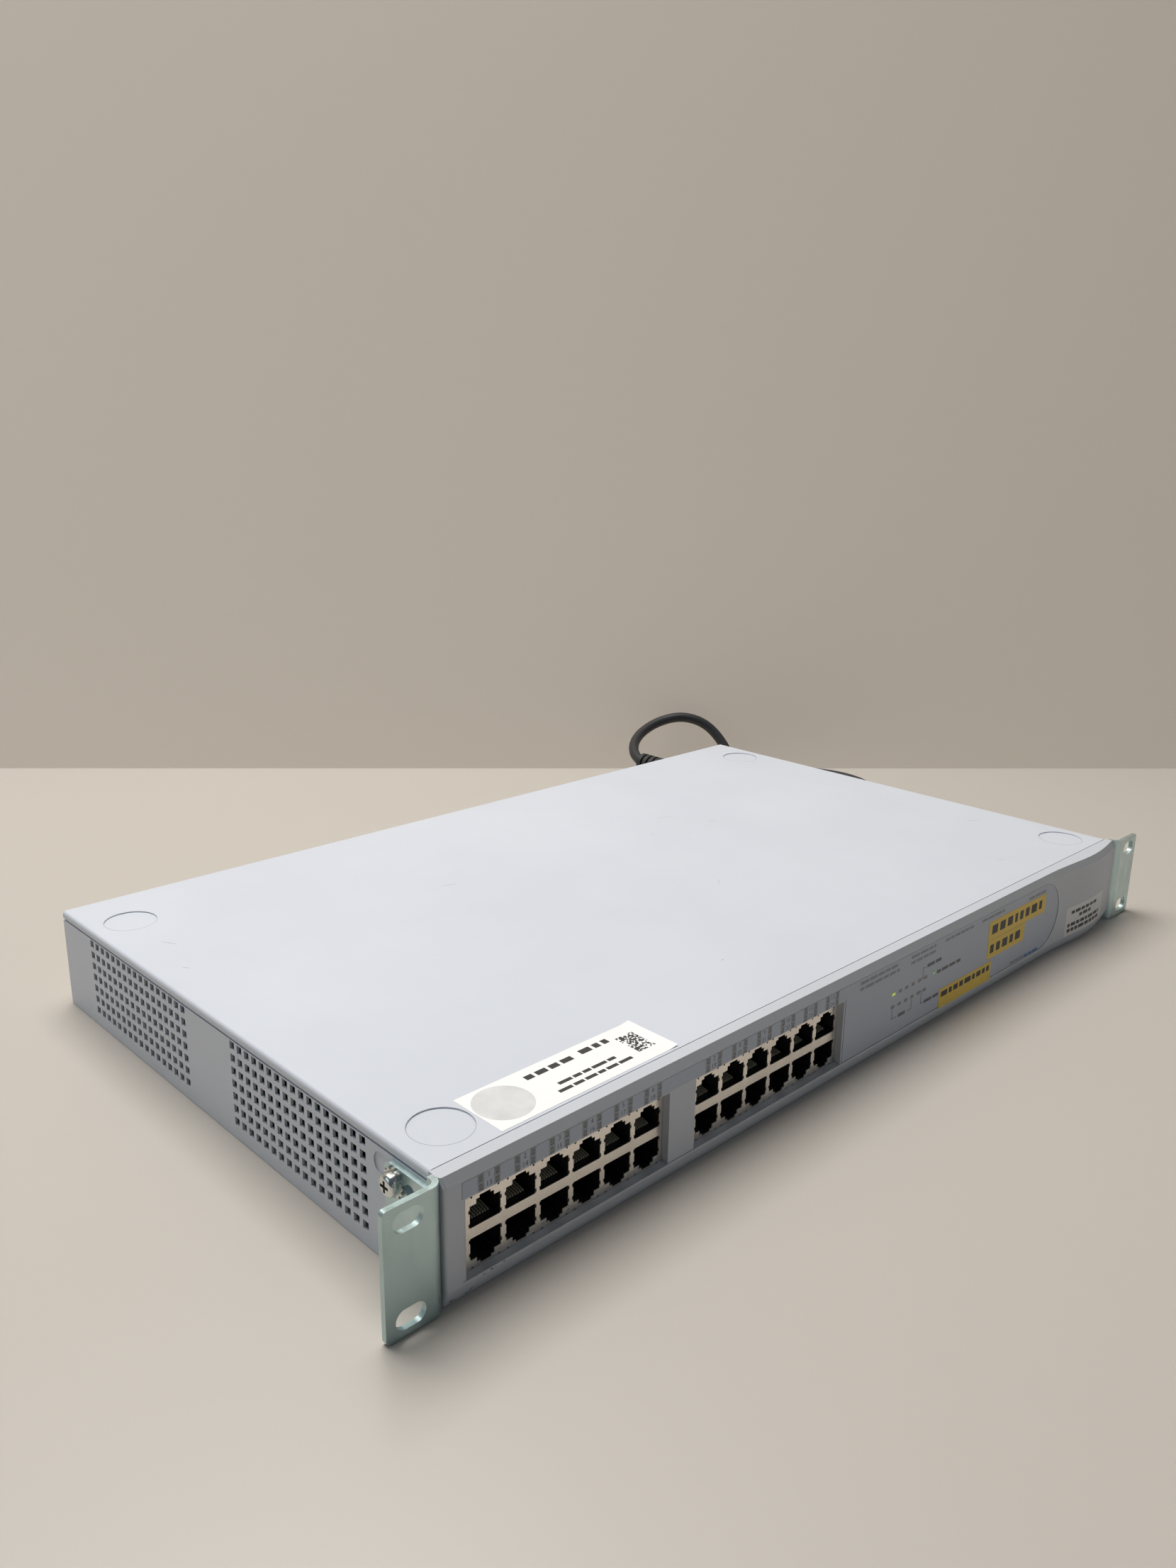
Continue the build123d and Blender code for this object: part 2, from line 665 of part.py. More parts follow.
# ================================================================ rear fittings
for name, x in zip(("left", "right"), bay_x):
    with BuildPart() as blanking_plate:
        with BuildSketch(rear_plane(rear_y)):
            with Locations((-x, bay_z)):
                RectangleRounded(*bay_plate, 1.0)
                with Locations((-thumb_offset, 0), (thumb_offset, 0)):
                    Circle(thumb_hole, mode=Mode.SUBTRACT)
        extrude(amount=plate)
        fold = bay_cutout[0] / 2 - 0.5
        block(x - fold, x + fold, rear_y - 9, rear_y, bay_z - 13.5, bay_z - 12.5)
        block(x - fold, x + fold, rear_y - 9, rear_y, bay_z + 12.5, bay_z + 13.5)
    save("module_blanking_plate_" + name, blanking_plate.part)

thumb_radius = 4.4
thumb_shank = 1.5
flute_count = 24
thumb_places = [x + side for x in bay_x for side in (-thumb_offset, thumb_offset)]
knob_plane = rear_plane(rear_y + plate + 0.05)
for number, x in enumerate(thumb_places, start=1):
    with BuildPart() as thumbscrew:
        with BuildSketch(knob_plane):
            with Locations((-x, bay_z)):
                Circle(thumb_radius)
                with PolarLocations(thumb_radius + 0.12, flute_count):
                    Circle(0.34, mode=Mode.SUBTRACT)
        extrude(amount=knob_length - 0.05)
        with BuildSketch(knob_plane):
            with Locations((-x, bay_z)):
                Circle(thumb_shank)
        extrude(amount=-8.0)
        with BuildSketch(knob_plane.offset(knob_length - 0.05)):
            with Locations((-x, bay_z)):
                Rectangle(2 * thumb_radius, 1.1, rotation=25 * number)
        extrude(amount=-1.4, mode=Mode.SUBTRACT)
    save("thumbscrew_" + str(number), thumbscrew.part)

with BuildPart() as console_connector:
    with BuildSketch(rear_plane(rear_y)):
        with Locations((-console_x, console_z)):
            RectangleRounded(31.0, 12.6, 1.2)
    extrude(amount=0.8)
    with BuildSketch(rear_plane(rear_y + 0.8)):
        with Locations((-console_x, console_z)):
            RectangleRounded(18.6, 10.0, 2.4)
            RectangleRounded(17.4, 8.8, 1.9, mode=Mode.SUBTRACT)
    extrude(amount=4.8)
    block(console_x - 9, console_x + 9, rear_y - 9, rear_y, console_z - 4.8, console_z + 4.8)
    with BuildSketch(rear_plane(rear_y + 0.8)):
        with Locations((-console_x, console_z)):
            with Locations(*[((i - 2) * 2.77, 1.42) for i in range(5)]):
                Circle(0.5)
            with Locations(*[((i - 1.5) * 2.77, -1.42) for i in range(4)]):
                Circle(0.5)
    extrude(amount=4.4)
save("console_connector", console_connector.part)

with BuildPart() as console_jackscrews:
    with BuildSketch(rear_plane(rear_y + 0.8)):
        with Locations((-console_x, console_z)):
            with GridLocations(25.0, 0, 2, 1):
                RegularPolygon(2.7, 6)
                Circle(1.4, mode=Mode.SUBTRACT)
    extrude(amount=4.8)
save("console_jackscrews", console_jackscrews.part)

cover_screw_places = [(rear_y, -x, cover_screw_z) for x in cover_screw_x]
save("cover_screws", pan_screw_row(cover_screw_places, 2.6, 1.7, 1.45, 3.0, rear_plane))

# ================================================================ rack ears
ear_outer = rack_width / 2
ear_face_y = face_y - 0.1
slot_middle_z = 21.64
ear_slot_z = (slot_middle_z - slot_spacing_z / 2, slot_middle_z + slot_spacing_z / 2)
leg_high = 39.0
leg_low = 4.6
ear_high = body_height
leg_end = ear_face_y + ear_leg_length
ear_screw_y = seam_y + 13.6
ear_screw_z = (9.2, 34.0)
ear_hole_y = seam_y + 6.4
for side, sign in (("left", -1), ("right", 1)):
    near = half_width * sign
    far = ear_outer * sign
    with BuildPart() as rack_ear:
        with BuildSketch():
            with BuildLine():
                Polyline(
                    (far, ear_face_y + ear_sheet),
                    (far, ear_face_y),
                    (near, ear_face_y),
                    (near, leg_end),
                    (near + sign * ear_sheet, leg_end),
                    (near + sign * ear_sheet, ear_face_y + ear_sheet),
                    close=True,
                )
            make_face()
        extrude(amount=ear_high)
        uprights = rack_ear.edges().filter_by(Axis.Z)
        bend_outer = uprights.sort_by_distance((near, ear_face_y, ear_high / 2))[0]
        fillet(bend_outer, ear_bend)
        uprights = rack_ear.edges().filter_by(Axis.Z)
        inner_place = (near + sign * ear_sheet, ear_face_y + ear_sheet, ear_high / 2)
        bend_inner = uprights.sort_by_distance(inner_place)[0]
        fillet(bend_inner, ear_bend - ear_sheet)
        notch_y = ear_face_y + ear_bend + 1.6
        for z_low, z_high in ((leg_high, ear_high + 1), (-1, leg_low)):
            block(min(near, near + sign * 4), max(near, near + sign * 4), notch_y, leg_end + 1,
                  z_low, z_high, Mode.SUBTRACT)
        leg_corners = rack_ear.edges().filter_by(Axis.X).group_by(Axis.Y)[-1]
        fillet(leg_corners, 3.0)
        flange_corners = rack_ear.edges().filter_by(Axis.Y)
        flange_corners = flange_corners.filter_by(lambda e: abs(e.center().X - far) < 0.5)
        fillet(flange_corners, 1.6)
        with BuildSketch(front_plane(ear_face_y - 1)):
            with Locations(*[(sign * slot_spacing_x / 2, z) for z in ear_slot_z]):
                SlotOverall(slot_length, slot_width)
        extrude(amount=-(ear_sheet + 2), mode=Mode.SUBTRACT)
        with BuildSketch(Plane.YZ.offset(near - sign * 1)):
            with Locations(*[(ear_screw_y, z) for z in ear_screw_z]):
                Circle(2.2)
            with Locations(*[(ear_hole_y, z) for z in ear_screw_z]):
                Circle(2.3)
        extrude(amount=sign * (ear_sheet + 2), mode=Mode.SUBTRACT)
    save("rack_ear_" + side, rack_ear.part)

washer = 1.0
washer_face = half_width + ear_sheet
with BuildPart() as ear_washers:
    for sign in (-1, 1):
        ear_side = Plane(origin=(sign * washer_face, 0, 0), x_dir=(0, sign, 0), z_dir=(sign, 0, 0))
        with BuildSketch(ear_side):
            with Locations(*[(sign * ear_screw_y, z) for z in ear_screw_z]):
                Circle(4.3)
                with PolarLocations(4.3, 12):
                    Rectangle(1.3, 1.0)
                Circle(2.1, mode=Mode.SUBTRACT)
        extrude(amount=washer)
save("ear_washers", ear_washers.part)

ear_head = 3.1
ear_head_radius = 3.9
with BuildPart() as ear_screws:
    for sign in (-1, 1):
        ear_side = Plane(origin=(sign * (washer_face + washer), 0, 0), x_dir=(0, sign, 0), z_dir=(sign, 0, 0))
        for z in ear_screw_z:
            with BuildSketch(ear_side):
                with Locations((sign * ear_screw_y, z)):
                    Circle(ear_head_radius)
            extrude(amount=ear_head)
            with BuildSketch(ear_side):
                with Locations((sign * ear_screw_y, z)):
                    Circle(2.0)
            extrude(amount=-(washer + ear_sheet))
    rims = ear_screws.edges().filter_by(GeomType.CIRCLE)
    rims = rims.filter_by(lambda e: abs(e.center().X) > washer_face + washer + ear_head - 0.1)
    fillet(rims, 1.9)
    for sign in (-1, 1):
        top = sign * (washer_face + washer + ear_head)
        for z in ear_screw_z:
            for size_y, size_z in ((4.0, 1.0), (1.0, 4.0)):
                with Locations((top - sign * 0.8, ear_screw_y, z)):
                    Box(2.2, size_y, size_z, mode=Mode.SUBTRACT)
save("ear_screws", ear_screws.part)

# ================================================================ mains inlet and lead
inlet_flange = 2.4
inlet_inside = 22.0
cavity = (24.6, 16.6)
nose = (23.4, 15.4)
cavity_depth = 18.0


def inlet_outline(width, height, corner):
    """The inlet's six-sided outline, with its two upper corners cut, in the open sketch."""
    half_w = width / 2
    half_h = height / 2
    Polygon(
        (-half_w, -half_h),
        (half_w, -half_h),
        (half_w, half_h - corner),
        (half_w - corner, half_h),
        (-half_w + corner, half_h),
        (-half_w, half_h - corner),
        align=None,
    )


inlet_face = Plane(origin=(inlet_x, rear_y, inlet_z), x_dir=(-1, 0, 0), z_dir=(0, 1, 0))
with BuildPart() as iec_inlet:
    with BuildSketch(inlet_face):
        RectangleRounded(31.0, 24.0, 2.0)
    extrude(amount=inlet_flange)
    with BuildSketch(inlet_face):
        inlet_outline(27.0, 20.0, 4.5)
    extrude(amount=-inlet_inside)
    with BuildSketch(inlet_face.offset(inlet_flange)):
        inlet_outline(*cavity, 4.0)
    extrude(amount=-cavity_depth, mode=Mode.SUBTRACT)
    pin_places = [(0, 2.0), (-7.0, -2.0), (7.0, -2.0)]
    with BuildSketch(inlet_face.offset(inlet_flange - cavity_depth)):
        with Locations(*pin_places):
            Rectangle(2.0, 4.0)
    extrude(amount=cavity_depth - 2.6)
save("iec_inlet", iec_inlet.part)

plug_face = inlet_face.offset(inlet_flange)
plug_body = 24.0
boot_length = 27.0
boot_steps = 5
boot_rise = 1.2             # the lead bends the strain relief's end up this much
with BuildPart() as c13_plug:
    with BuildSketch(plug_face):
        inlet_outline(*nose, 3.6)
    extrude(amount=-(cavity_depth - 1.0))
    with BuildSketch(plug_face):
        inlet_outline(28.0, 20.4, 5.0)
    with BuildSketch(plug_face.offset(plug_body)):
        inlet_outline(19.0, 15.0, 4.0)
    loft()
    with BuildSketch(plug_face.offset(-(cavity_depth - 1.0))):
        with Locations(*pin_places):
            Rectangle(2.5, 4.5)
    extrude(amount=cavity_depth - 1.0, mode=Mode.SUBTRACT)
save("c13_plug", c13_plug.part)

boot_y = rear_y + inlet_flange + plug_body
cord_start_y = boot_y + boot_length
with BuildPart() as strain_relief:
    with BuildSketch(plug_face.offset(plug_body)):
        Circle(7.4)
    with BuildSketch(plug_face.offset(plug_body + boot_length)):
        with Locations((0, boot_rise)):
            Circle(cord_diameter / 2 + 3.0)
    loft()
    for i in range(boot_steps):
        groove_y = 3.0 + i * 4.8
        with BuildSketch(plug_face.offset(plug_body + groove_y)):
            with Locations((0, boot_rise * groove_y / boot_length)):
                Circle(9)
                Circle(5.6 - 0.2 * i, mode=Mode.SUBTRACT)
        extrude(amount=1.7, mode=Mode.SUBTRACT)
save("strain_relief", strain_relief.part)

floor_z = cord_diameter / 2
ring_half = (coil_turns / coil_layers + 1) * cord_diameter / 2
ring_outer = coil_radius + ring_half
coil_x = half_width + 0.6 + ring_outer
coil_y = seam_y + 226.0
coil_height = coil_layers * cord_diameter
outer_turn = ring_outer - floor_z


def on_outer_turn(angle, z):
    """A point of the coil's outermost turn, at an angle from +X."""
    turn = radians(angle)
    return (coil_x + outer_turn * cos(turn), coil_y + outer_turn * sin(turn), z)


# The lead's route, from the strain relief over a stiff arch and down to the coil.
cord_route = [
    (inlet_x, cord_start_y, inlet_z + boot_rise),
    (inlet_x + 2.2, cord_start_y + 7.4, inlet_z + 2.2),
    (inlet_x + 8.8, cord_start_y + 17.6, inlet_z + 4.4),
    (inlet_x + 20.2, cord_start_y + 27.8, inlet_z + 7.4),
    (inlet_x + 34.0, cord_start_y + 33.0, inlet_z + 12.0),
    (inlet_x + 51.2, cord_start_y + 32.8, inlet_z + 16.8),
    (inlet_x + 65.8, cord_start_y + 24.6, inlet_z + 20.0),
    (inlet_x + 77.7, cord_start_y + 13.4, inlet_z + 16.0),
    (inlet_x + 84.6, cord_start_y + 2.8, inlet_z + 5.4),
    (inlet_x + 84.4, cord_start_y - 11.4, inlet_z - 10.6),
    (inlet_x + 89.5, cord_start_y - 29.8, floor_z + 1.3),
    (inlet_x + 95.0, cord_start_y - 44.4, floor_z),
    (inlet_x + 101.4, cord_start_y - 58.2, floor_z),
    on_outer_turn(entry_angle, floor_z),
]


def corner_radii(points):
    """The largest arc that each corner's two runs allow, as a list along the route."""
    found = []
    for before, here, after in zip(points, points[1:], points[2:]):
        run_in = Vector(*here) - Vector(*before)
        run_out = Vector(*after) - Vector(*here)
        half_turn = radians(run_in.get_angle(run_out)) / 2
        found.append(0.45 * min(run_in.length, run_out.length) / tan(half_turn))
    return found


def cord_tube(points):
    """A cord along straight runs joined by tangent arcs."""
    radii = corner_radii(points)
    heading = Vector(*points[1]) - Vector(*points[0])
    with BuildPart() as tube:
        with BuildLine():
            path = FilletPolyline(*points, radius=radii)
        with BuildSketch(Plane(origin=points[0], z_dir=heading.normalized())):
            Circle(cord_diameter / 2)
        sweep(path=path)
    length = path.length
    print("cord radii", [round(r, 1) for r in radii])
    print("cord length", round(length, 1), "volume ratio",
          round(tube.part.volume / (length * pi * (cord_diameter / 2) ** 2), 4))
    return tube.part, length


tube_part, tube_length = cord_tube(cord_route)
save("power_cord", tube_part)

with BuildPart() as cord_coil:
    with BuildSketch(Plane(origin=(coil_x, coil_y, 0), x_dir=(1, 0, 0), z_dir=(0, -1, 0))):
        with Locations((coil_radius, coil_height / 2)):
            RectangleRounded(2 * ring_half, coil_height, 2.8)
    revolve(axis=Axis((coil_x, coil_y, 0), (0, 0, 1)))
save("cord_coil", cord_coil.part)
print("coil outer diameter", 2 * ring_outer, "height", coil_height)

# The last stretch leaves the coil's upper layer and ends in a three-pin mains plug.
upper_z = coil_height - floor_z
mains_x = coil_x - 15.6
mains_z = 11.0
mains_back = coil_y - 115.0
end_route = [
    on_outer_turn(exit_angle, upper_z),
    (coil_x + 9.0, coil_y - 45.0, upper_z - 0.4),
    (coil_x - 0.9, coil_y - 53.2, upper_z - 0.7),
    (coil_x - 8.3, coil_y - 63.7, upper_z - 0.4),
    (coil_x - 13.0, coil_y - 76.0, upper_z + 0.1),
    (coil_x - 15.2, coil_y - 89.0, upper_z + 0.7),
    (mains_x - 0.4, coil_y - 102.5, mains_z - 0.2),
    (mains_x, mains_back, mains_z),
]
tube_part, end_length = cord_tube(end_route)
save("plug_lead", tube_part)

mains_body = (27.0, 22.0, 34.0)
mains_neck = 14.0
blade = (1.5, 6.35, 17.5)
blade_spacing = 12.7
earth_radius = 2.4
earth_rise = 11.9
earth_length = 20.5
mains_face = mains_back - mains_neck - mains_body[2]
with BuildPart() as mains_plug:
    with BuildSketch(front_plane(mains_back)):
        with Locations((mains_x, mains_z)):
            Circle(cord_diameter / 2 + 1.6)
    with BuildSketch(front_plane(mains_back - mains_neck)):
        with Locations((mains_x, mains_z)):
            Circle(8.5)
    loft()
    with BuildSketch(front_plane(mains_back - mains_neck)):
        with Locations((mains_x, mains_z)):
            RectangleRounded(mains_body[0] - 4, mains_body[1] - 2, 7)
    with BuildSketch(front_plane(mains_face)):
        with Locations((mains_x, mains_z)):
            RectangleRounded(mains_body[0], mains_body[1], 5)
    loft()
save("mains_plug", mains_plug.part)

with BuildPart() as mains_plug_pins:
    with BuildSketch(front_plane(mains_face)):
        with Locations((mains_x, mains_z - earth_rise / 2)):
            with GridLocations(blade_spacing, 0, 2, 1):
                Rectangle(blade[0], blade[1])
    extrude(amount=blade[2])
    with BuildSketch(front_plane(mains_face)):
        with Locations((mains_x, mains_z + earth_rise / 2)):
            Circle(earth_radius)
    extrude(amount=earth_length)
save("mains_plug_pins", mains_plug_pins.part)

# The tie is a U strap that follows the ring of turns.
tie_width = 12.0
tie = 0.8
tie_turn = degrees(tie_width / coil_radius)
with BuildPart() as cord_tie:
    with BuildSketch(Plane(origin=(coil_x, coil_y, 0), x_dir=(0, 1, 0), z_dir=(1, 0, 0))):
        with Locations((coil_radius, (coil_height + tie) / 2)):
            Rectangle(2 * (ring_half + tie), coil_height + tie)
        with Locations((coil_radius, coil_height / 2)):
            Rectangle(2 * ring_half, coil_height, mode=Mode.SUBTRACT)
    revolve(axis=Axis((coil_x, coil_y, 0), (0, 0, 1)), revolution_arc=tie_turn)
save("cord_tie", cord_tie.part)

turn_length = 2 * pi * coil_radius * coil_turns
print("whole lead", round(tube_length + end_length + turn_length), "of", cord_length)
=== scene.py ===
import json
import random
from math import cos, pi, radians, sin, tau

import bmesh
import bpy
from mathutils import Matrix, Vector


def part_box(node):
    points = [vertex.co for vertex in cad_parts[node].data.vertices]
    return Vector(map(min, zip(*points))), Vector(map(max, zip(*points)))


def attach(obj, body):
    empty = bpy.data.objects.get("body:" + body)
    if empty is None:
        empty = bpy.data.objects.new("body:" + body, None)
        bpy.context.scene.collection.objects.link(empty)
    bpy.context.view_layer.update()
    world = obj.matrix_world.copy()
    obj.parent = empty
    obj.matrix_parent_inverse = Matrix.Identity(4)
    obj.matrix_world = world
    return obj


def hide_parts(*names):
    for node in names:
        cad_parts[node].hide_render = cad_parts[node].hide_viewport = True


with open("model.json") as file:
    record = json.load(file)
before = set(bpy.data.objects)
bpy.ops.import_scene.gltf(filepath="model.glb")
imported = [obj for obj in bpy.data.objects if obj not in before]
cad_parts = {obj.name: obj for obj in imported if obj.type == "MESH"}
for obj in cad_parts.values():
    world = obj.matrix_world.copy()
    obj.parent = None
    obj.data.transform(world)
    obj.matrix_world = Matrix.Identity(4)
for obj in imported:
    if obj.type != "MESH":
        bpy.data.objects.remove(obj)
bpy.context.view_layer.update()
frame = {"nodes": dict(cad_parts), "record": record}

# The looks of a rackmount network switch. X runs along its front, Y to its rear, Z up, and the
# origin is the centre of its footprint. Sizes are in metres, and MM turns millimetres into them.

MM = 0.001
BODY = "switch"


# ---------------------------------------------------------------- places read from the frame
def limits(node):
    """(lowest corner, highest corner) of a CAD node, in millimetres."""
    low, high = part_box(node)
    return low / MM, high / MM


top_low, top_high = limits("cover_top")
bezel_low = limits("front_bezel")[0]
shields = [limits("jack_shield_left"), limits("jack_shield_right")]
inlet_low, inlet_high = limits("iec_inlet")
boot_high = limits("strain_relief")[1]
coil_low, coil_high = limits("cord_coil")
plug_low, plug_high = limits("mains_plug")

seam_y = top_low.y                      # the line between cover and bezel
cover_z = top_high.z
film_y = limits("overlay_label")[0].y   # the printed film's front
port_pitch = 13.97
ports_per_row = 6
block_centres = [(low.x + high.x) / 2 for low, high in shields]


# ---------------------------------------------------------------- camera and studio
def add_camera():
    """The camera at the photograph's viewing angle, held upright in the hand with a slight roll."""
    place = Vector((-400.86, -379.26, 248.8)) * MM
    heading = radians(44.12)
    pitch = radians(-16.35)
    roll = radians(0.8)
    data = bpy.data.cameras.new("camera")
    data.lens = 28.2
    data.sensor_width = 36.0
    data.clip_start = 0.01
    camera = bpy.data.objects.new("camera", data)
    bpy.context.collection.objects.link(camera)
    turn = Matrix.Rotation(-heading, 3, "Z") @ Matrix.Rotation(pi / 2 + pitch, 3, "X")
    turn = turn @ Matrix.Rotation(roll, 3, "Z")
    camera.matrix_world = Matrix.Translation(place) @ turn.to_4x4()
    bpy.context.scene.camera = camera


def area_light(name, place, target, width, height, power, colour):
    """A soft box at place that shines at target."""
    data = bpy.data.lights.new(name, "AREA")
    data.shape = "RECTANGLE"
    data.size = width
    data.size_y = height
    data.energy = power
    data.color = colour
    light = bpy.data.objects.new(name, data)
    light.location = place
    light.rotation_euler = (Vector(target) - Vector(place)).to_track_quat("-Z", "Y").to_euler()
    bpy.context.collection.objects.link(light)


def light_up_wall(material):
    """The wall glows evenly, a little less to the right, and is clear seen from behind."""
    fade_from, fade_to = -0.1, 0.75     # in X, in metres
    left_glow = (0.302, 0.265, 0.226)
    right_glow = (0.246, 0.215, 0.180)
    nodes = material.node_tree.nodes
    links = material.node_tree.links
    shader = nodes["Principled BSDF"]
    place = nodes.new("ShaderNodeTexCoord")
    axes = nodes.new("ShaderNodeSeparateXYZ")
    links.new(place.outputs["Object"], axes.inputs["Vector"])
    across = remap(nodes, links, axes.outputs["X"], fade_from, fade_to, 0.0, 1.0)
    glow = blend_colours(nodes, links, across, left_glow, right_glow)
    links.new(glow, shader.inputs["Emission Color"])
    shader.inputs["Emission Strength"].default_value = 1.0
    clear = nodes.new("ShaderNodeBsdfTransparent")
    geometry = nodes.new("ShaderNodeNewGeometry")
    mix = nodes.new("ShaderNodeMixShader")
    links.new(geometry.outputs["Backfacing"], mix.inputs["Fac"])
    links.new(shader.outputs["BSDF"], mix.inputs[1])
    links.new(clear.outputs["BSDF"], mix.inputs[2])
    links.new(mix.outputs["Shader"], nodes["Material Output"].inputs["Surface"])


def add_floor(material):
    """A flat floor, a hair below the feet."""
    side = 9
    gap = 0.0002
    bpy.ops.mesh.primitive_plane_add(size=1, location=(0, 0, -gap))
    floor = bpy.context.object
    floor.name = "studio_floor"
    floor.scale = (side, side, 1)
    floor.data.materials.append(material)
    return floor


def add_wall(material):
    """An upright wall behind the rear right corner, across the view, that casts no shadow."""
    middle = Vector((0.2192, 0.26, 0))
    heading = radians(-41.2)
    reach = Vector((cos(heading), sin(heading), 0)) * 4.0
    up = Vector((0, 0, 3))
    left, right = middle - reach, middle + reach
    mesh = bpy.data.meshes.new("studio_wall")
    mesh.from_pydata([left, right, right + up, left + up], [], [(0, 1, 2, 3)])
    mesh.materials.append(material)
    wall = bpy.data.objects.new("studio_wall", mesh)
    bpy.context.collection.objects.link(wall)
    wall.visible_shadow = False
    return wall


def add_studio():
    """A pale floor, a pale wall close behind, a large soft light overhead and two weak fills."""
    floor_material = stage_material("studio_floor", (0.53, 0.483, 0.430), 0.30)
    wall_material = stage_material("studio_wall", (0.27, 0.245, 0.215), 0.5)
    light_up_wall(wall_material)
    floor = add_floor(floor_material)
    wall = add_wall(wall_material)

    world = bpy.data.worlds.new("studio")
    world.use_nodes = True
    background = world.node_tree.nodes["Background"]
    background.inputs["Color"].default_value = (0.72, 0.92, 1.15, 1)
    background.inputs["Strength"].default_value = 0.072
    scene = bpy.context.scene
    scene.world = world
    scene.view_settings.view_transform = "Standard"
    area_light("overhead", (-0.08, 0.40, 1.45), (-0.08, 0.12, 0), 1.1, 1.1, 25.5, (1.0, 0.995, 0.985))
    area_light("front", (0.15, -1.5, 0.6), (0.0, -0.13, 0.02), 0.9, 0.9, 1.25, (0.90, 1.0, 1.06))
    area_light("left", (-1.3, 0.25, 0.6), (-0.15, 0.05, 0.0), 0.7, 0.7, 1.6, (0.76, 0.92, 1.0))


# ---------------------------------------------------------------- materials
def new_material(name):
    """A node material with its tree's parts: (material, nodes, links, shader)."""
    material = bpy.data.materials.new(name)
    material.use_nodes = True
    tree = material.node_tree
    return material, tree.nodes, tree.links, tree.nodes["Principled BSDF"]


def noise(nodes, links, vector, scale, detail=3.0):
    """A noise texture of that scale, in cycles a metre."""
    texture = nodes.new("ShaderNodeTexNoise")
    texture.inputs["Scale"].default_value = scale
    texture.inputs["Detail"].default_value = detail
    links.new(vector, texture.inputs["Vector"])
    return texture.outputs["Fac"]


def remap(nodes, links, value, low, high, to_low, to_high):
    """value from low..high to to_low..to_high, held at both ends."""
    ramp = nodes.new("ShaderNodeMapRange")
    for socket, number in zip(("From Min", "From Max", "To Min", "To Max"), (low, high, to_low, to_high)):
        ramp.inputs[socket].default_value = number
    links.new(value, ramp.inputs["Value"])
    return ramp.outputs["Result"]


def blend_colours(nodes, links, factor, first, second):
    """A mix of two colours, each a tuple or a socket."""
    mix = nodes.new("ShaderNodeMix")
    mix.data_type = "RGBA"
    links.new(factor, mix.inputs["Factor"])
    for socket, colour in (("A", first), ("B", second)):
        inputs = [s for s in mix.inputs if s.name == socket and s.type == "RGBA"]
        if isinstance(colour, tuple):
            inputs[0].default_value = (*colour, 1.0)
        else:
            links.new(colour, inputs[0])
    return [s for s in mix.outputs if s.type == "RGBA"][0]


def surface(name, dark, light, rough, metallic=0.0, blotch=14.0, grain=900.0, relief=0.0,
            stretch=(1, 1, 1), coat=0.0, crisp=False):
    """A finish that drifts between two near colours and two roughnesses, with a fine grain in relief.

    A crisp one takes its shading from the faces themselves, so flat sheet stays flat up to its bends.
    """
    material, nodes, links, shader = new_material(name)
    place = nodes.new("ShaderNodeTexCoord")
    mapping = nodes.new("ShaderNodeMapping")
    mapping.inputs["Scale"].default_value = stretch
    links.new(place.outputs["Object"], mapping.inputs["Vector"])
    vector = mapping.outputs["Vector"]
    cloud = noise(nodes, links, vector, blotch, 4.0)
    fine = noise(nodes, links, vector, grain, 2.0)
    factor = remap(nodes, links, cloud, 0.3, 0.7, 0.0, 1.0)
    links.new(blend_colours(nodes, links, factor, dark, light), shader.inputs["Base Color"])
    links.new(remap(nodes, links, fine, 0.3, 0.7, *rough), shader.inputs["Roughness"])
    shader.inputs["Metallic"].default_value = metallic
    shader.inputs["Coat Weight"].default_value = coat
    if relief > 0:
        bump = nodes.new("ShaderNodeBump")
        bump.inputs["Strength"].default_value = 0.6
        bump.inputs["Distance"].default_value = relief
        links.new(fine, bump.inputs["Height"])
        if crisp:
            geometry = nodes.new("ShaderNodeNewGeometry")
            links.new(geometry.outputs["True Normal"], bump.inputs["Normal"])
        links.new(bump.outputs["Normal"], shader.inputs["Normal"])
    return material


def shade_slope(material):
    """Painted shade: surfaces that lean back, such as the bezel's sloping top edge and seam, are painted
    darker, standing in for the shade they fall in.
    """
    least, most, soft = 0.5, 0.8, 0.05  # how far up the normal of such a surface points
    # the colour of the painted shade on those leaning surfaces
    shade = (0.315, 0.32, 0.33)
    nodes = material.node_tree.nodes
    links = material.node_tree.links
    shader = nodes["Principled BSDF"]
    paint = shader.inputs["Base Color"].links[0].from_socket
    geometry = nodes.new("ShaderNodeNewGeometry")
    axes = nodes.new("ShaderNodeSeparateXYZ")
    links.new(geometry.outputs["True Normal"], axes.inputs["Vector"])
    steep = remap(nodes, links, axes.outputs["Z"], least - soft, least + soft, 0.0, 1.0)
    flat = remap(nodes, links, axes.outputs["Z"], most - soft, most + soft, 1.0, 0.0)
    # the mask of the painted shade: normals that lean back between steep and flat
    both = nodes.new("ShaderNodeMath")
    both.operation = "MULTIPLY"
    links.new(steep, both.inputs[0])
    links.new(flat, both.inputs[1])
    links.new(blend_colours(nodes, links, both.outputs["Value"], paint, shade), shader.inputs["Base Color"])


def stage_material(name, colour, rough):
    """The floor's or the wall's soft finish."""
    lighter = tuple(min(1.0, c * 1.03) for c in colour)
    return surface(name, colour, lighter, (rough, rough + 0.05), blotch=1.5, grain=60.0)


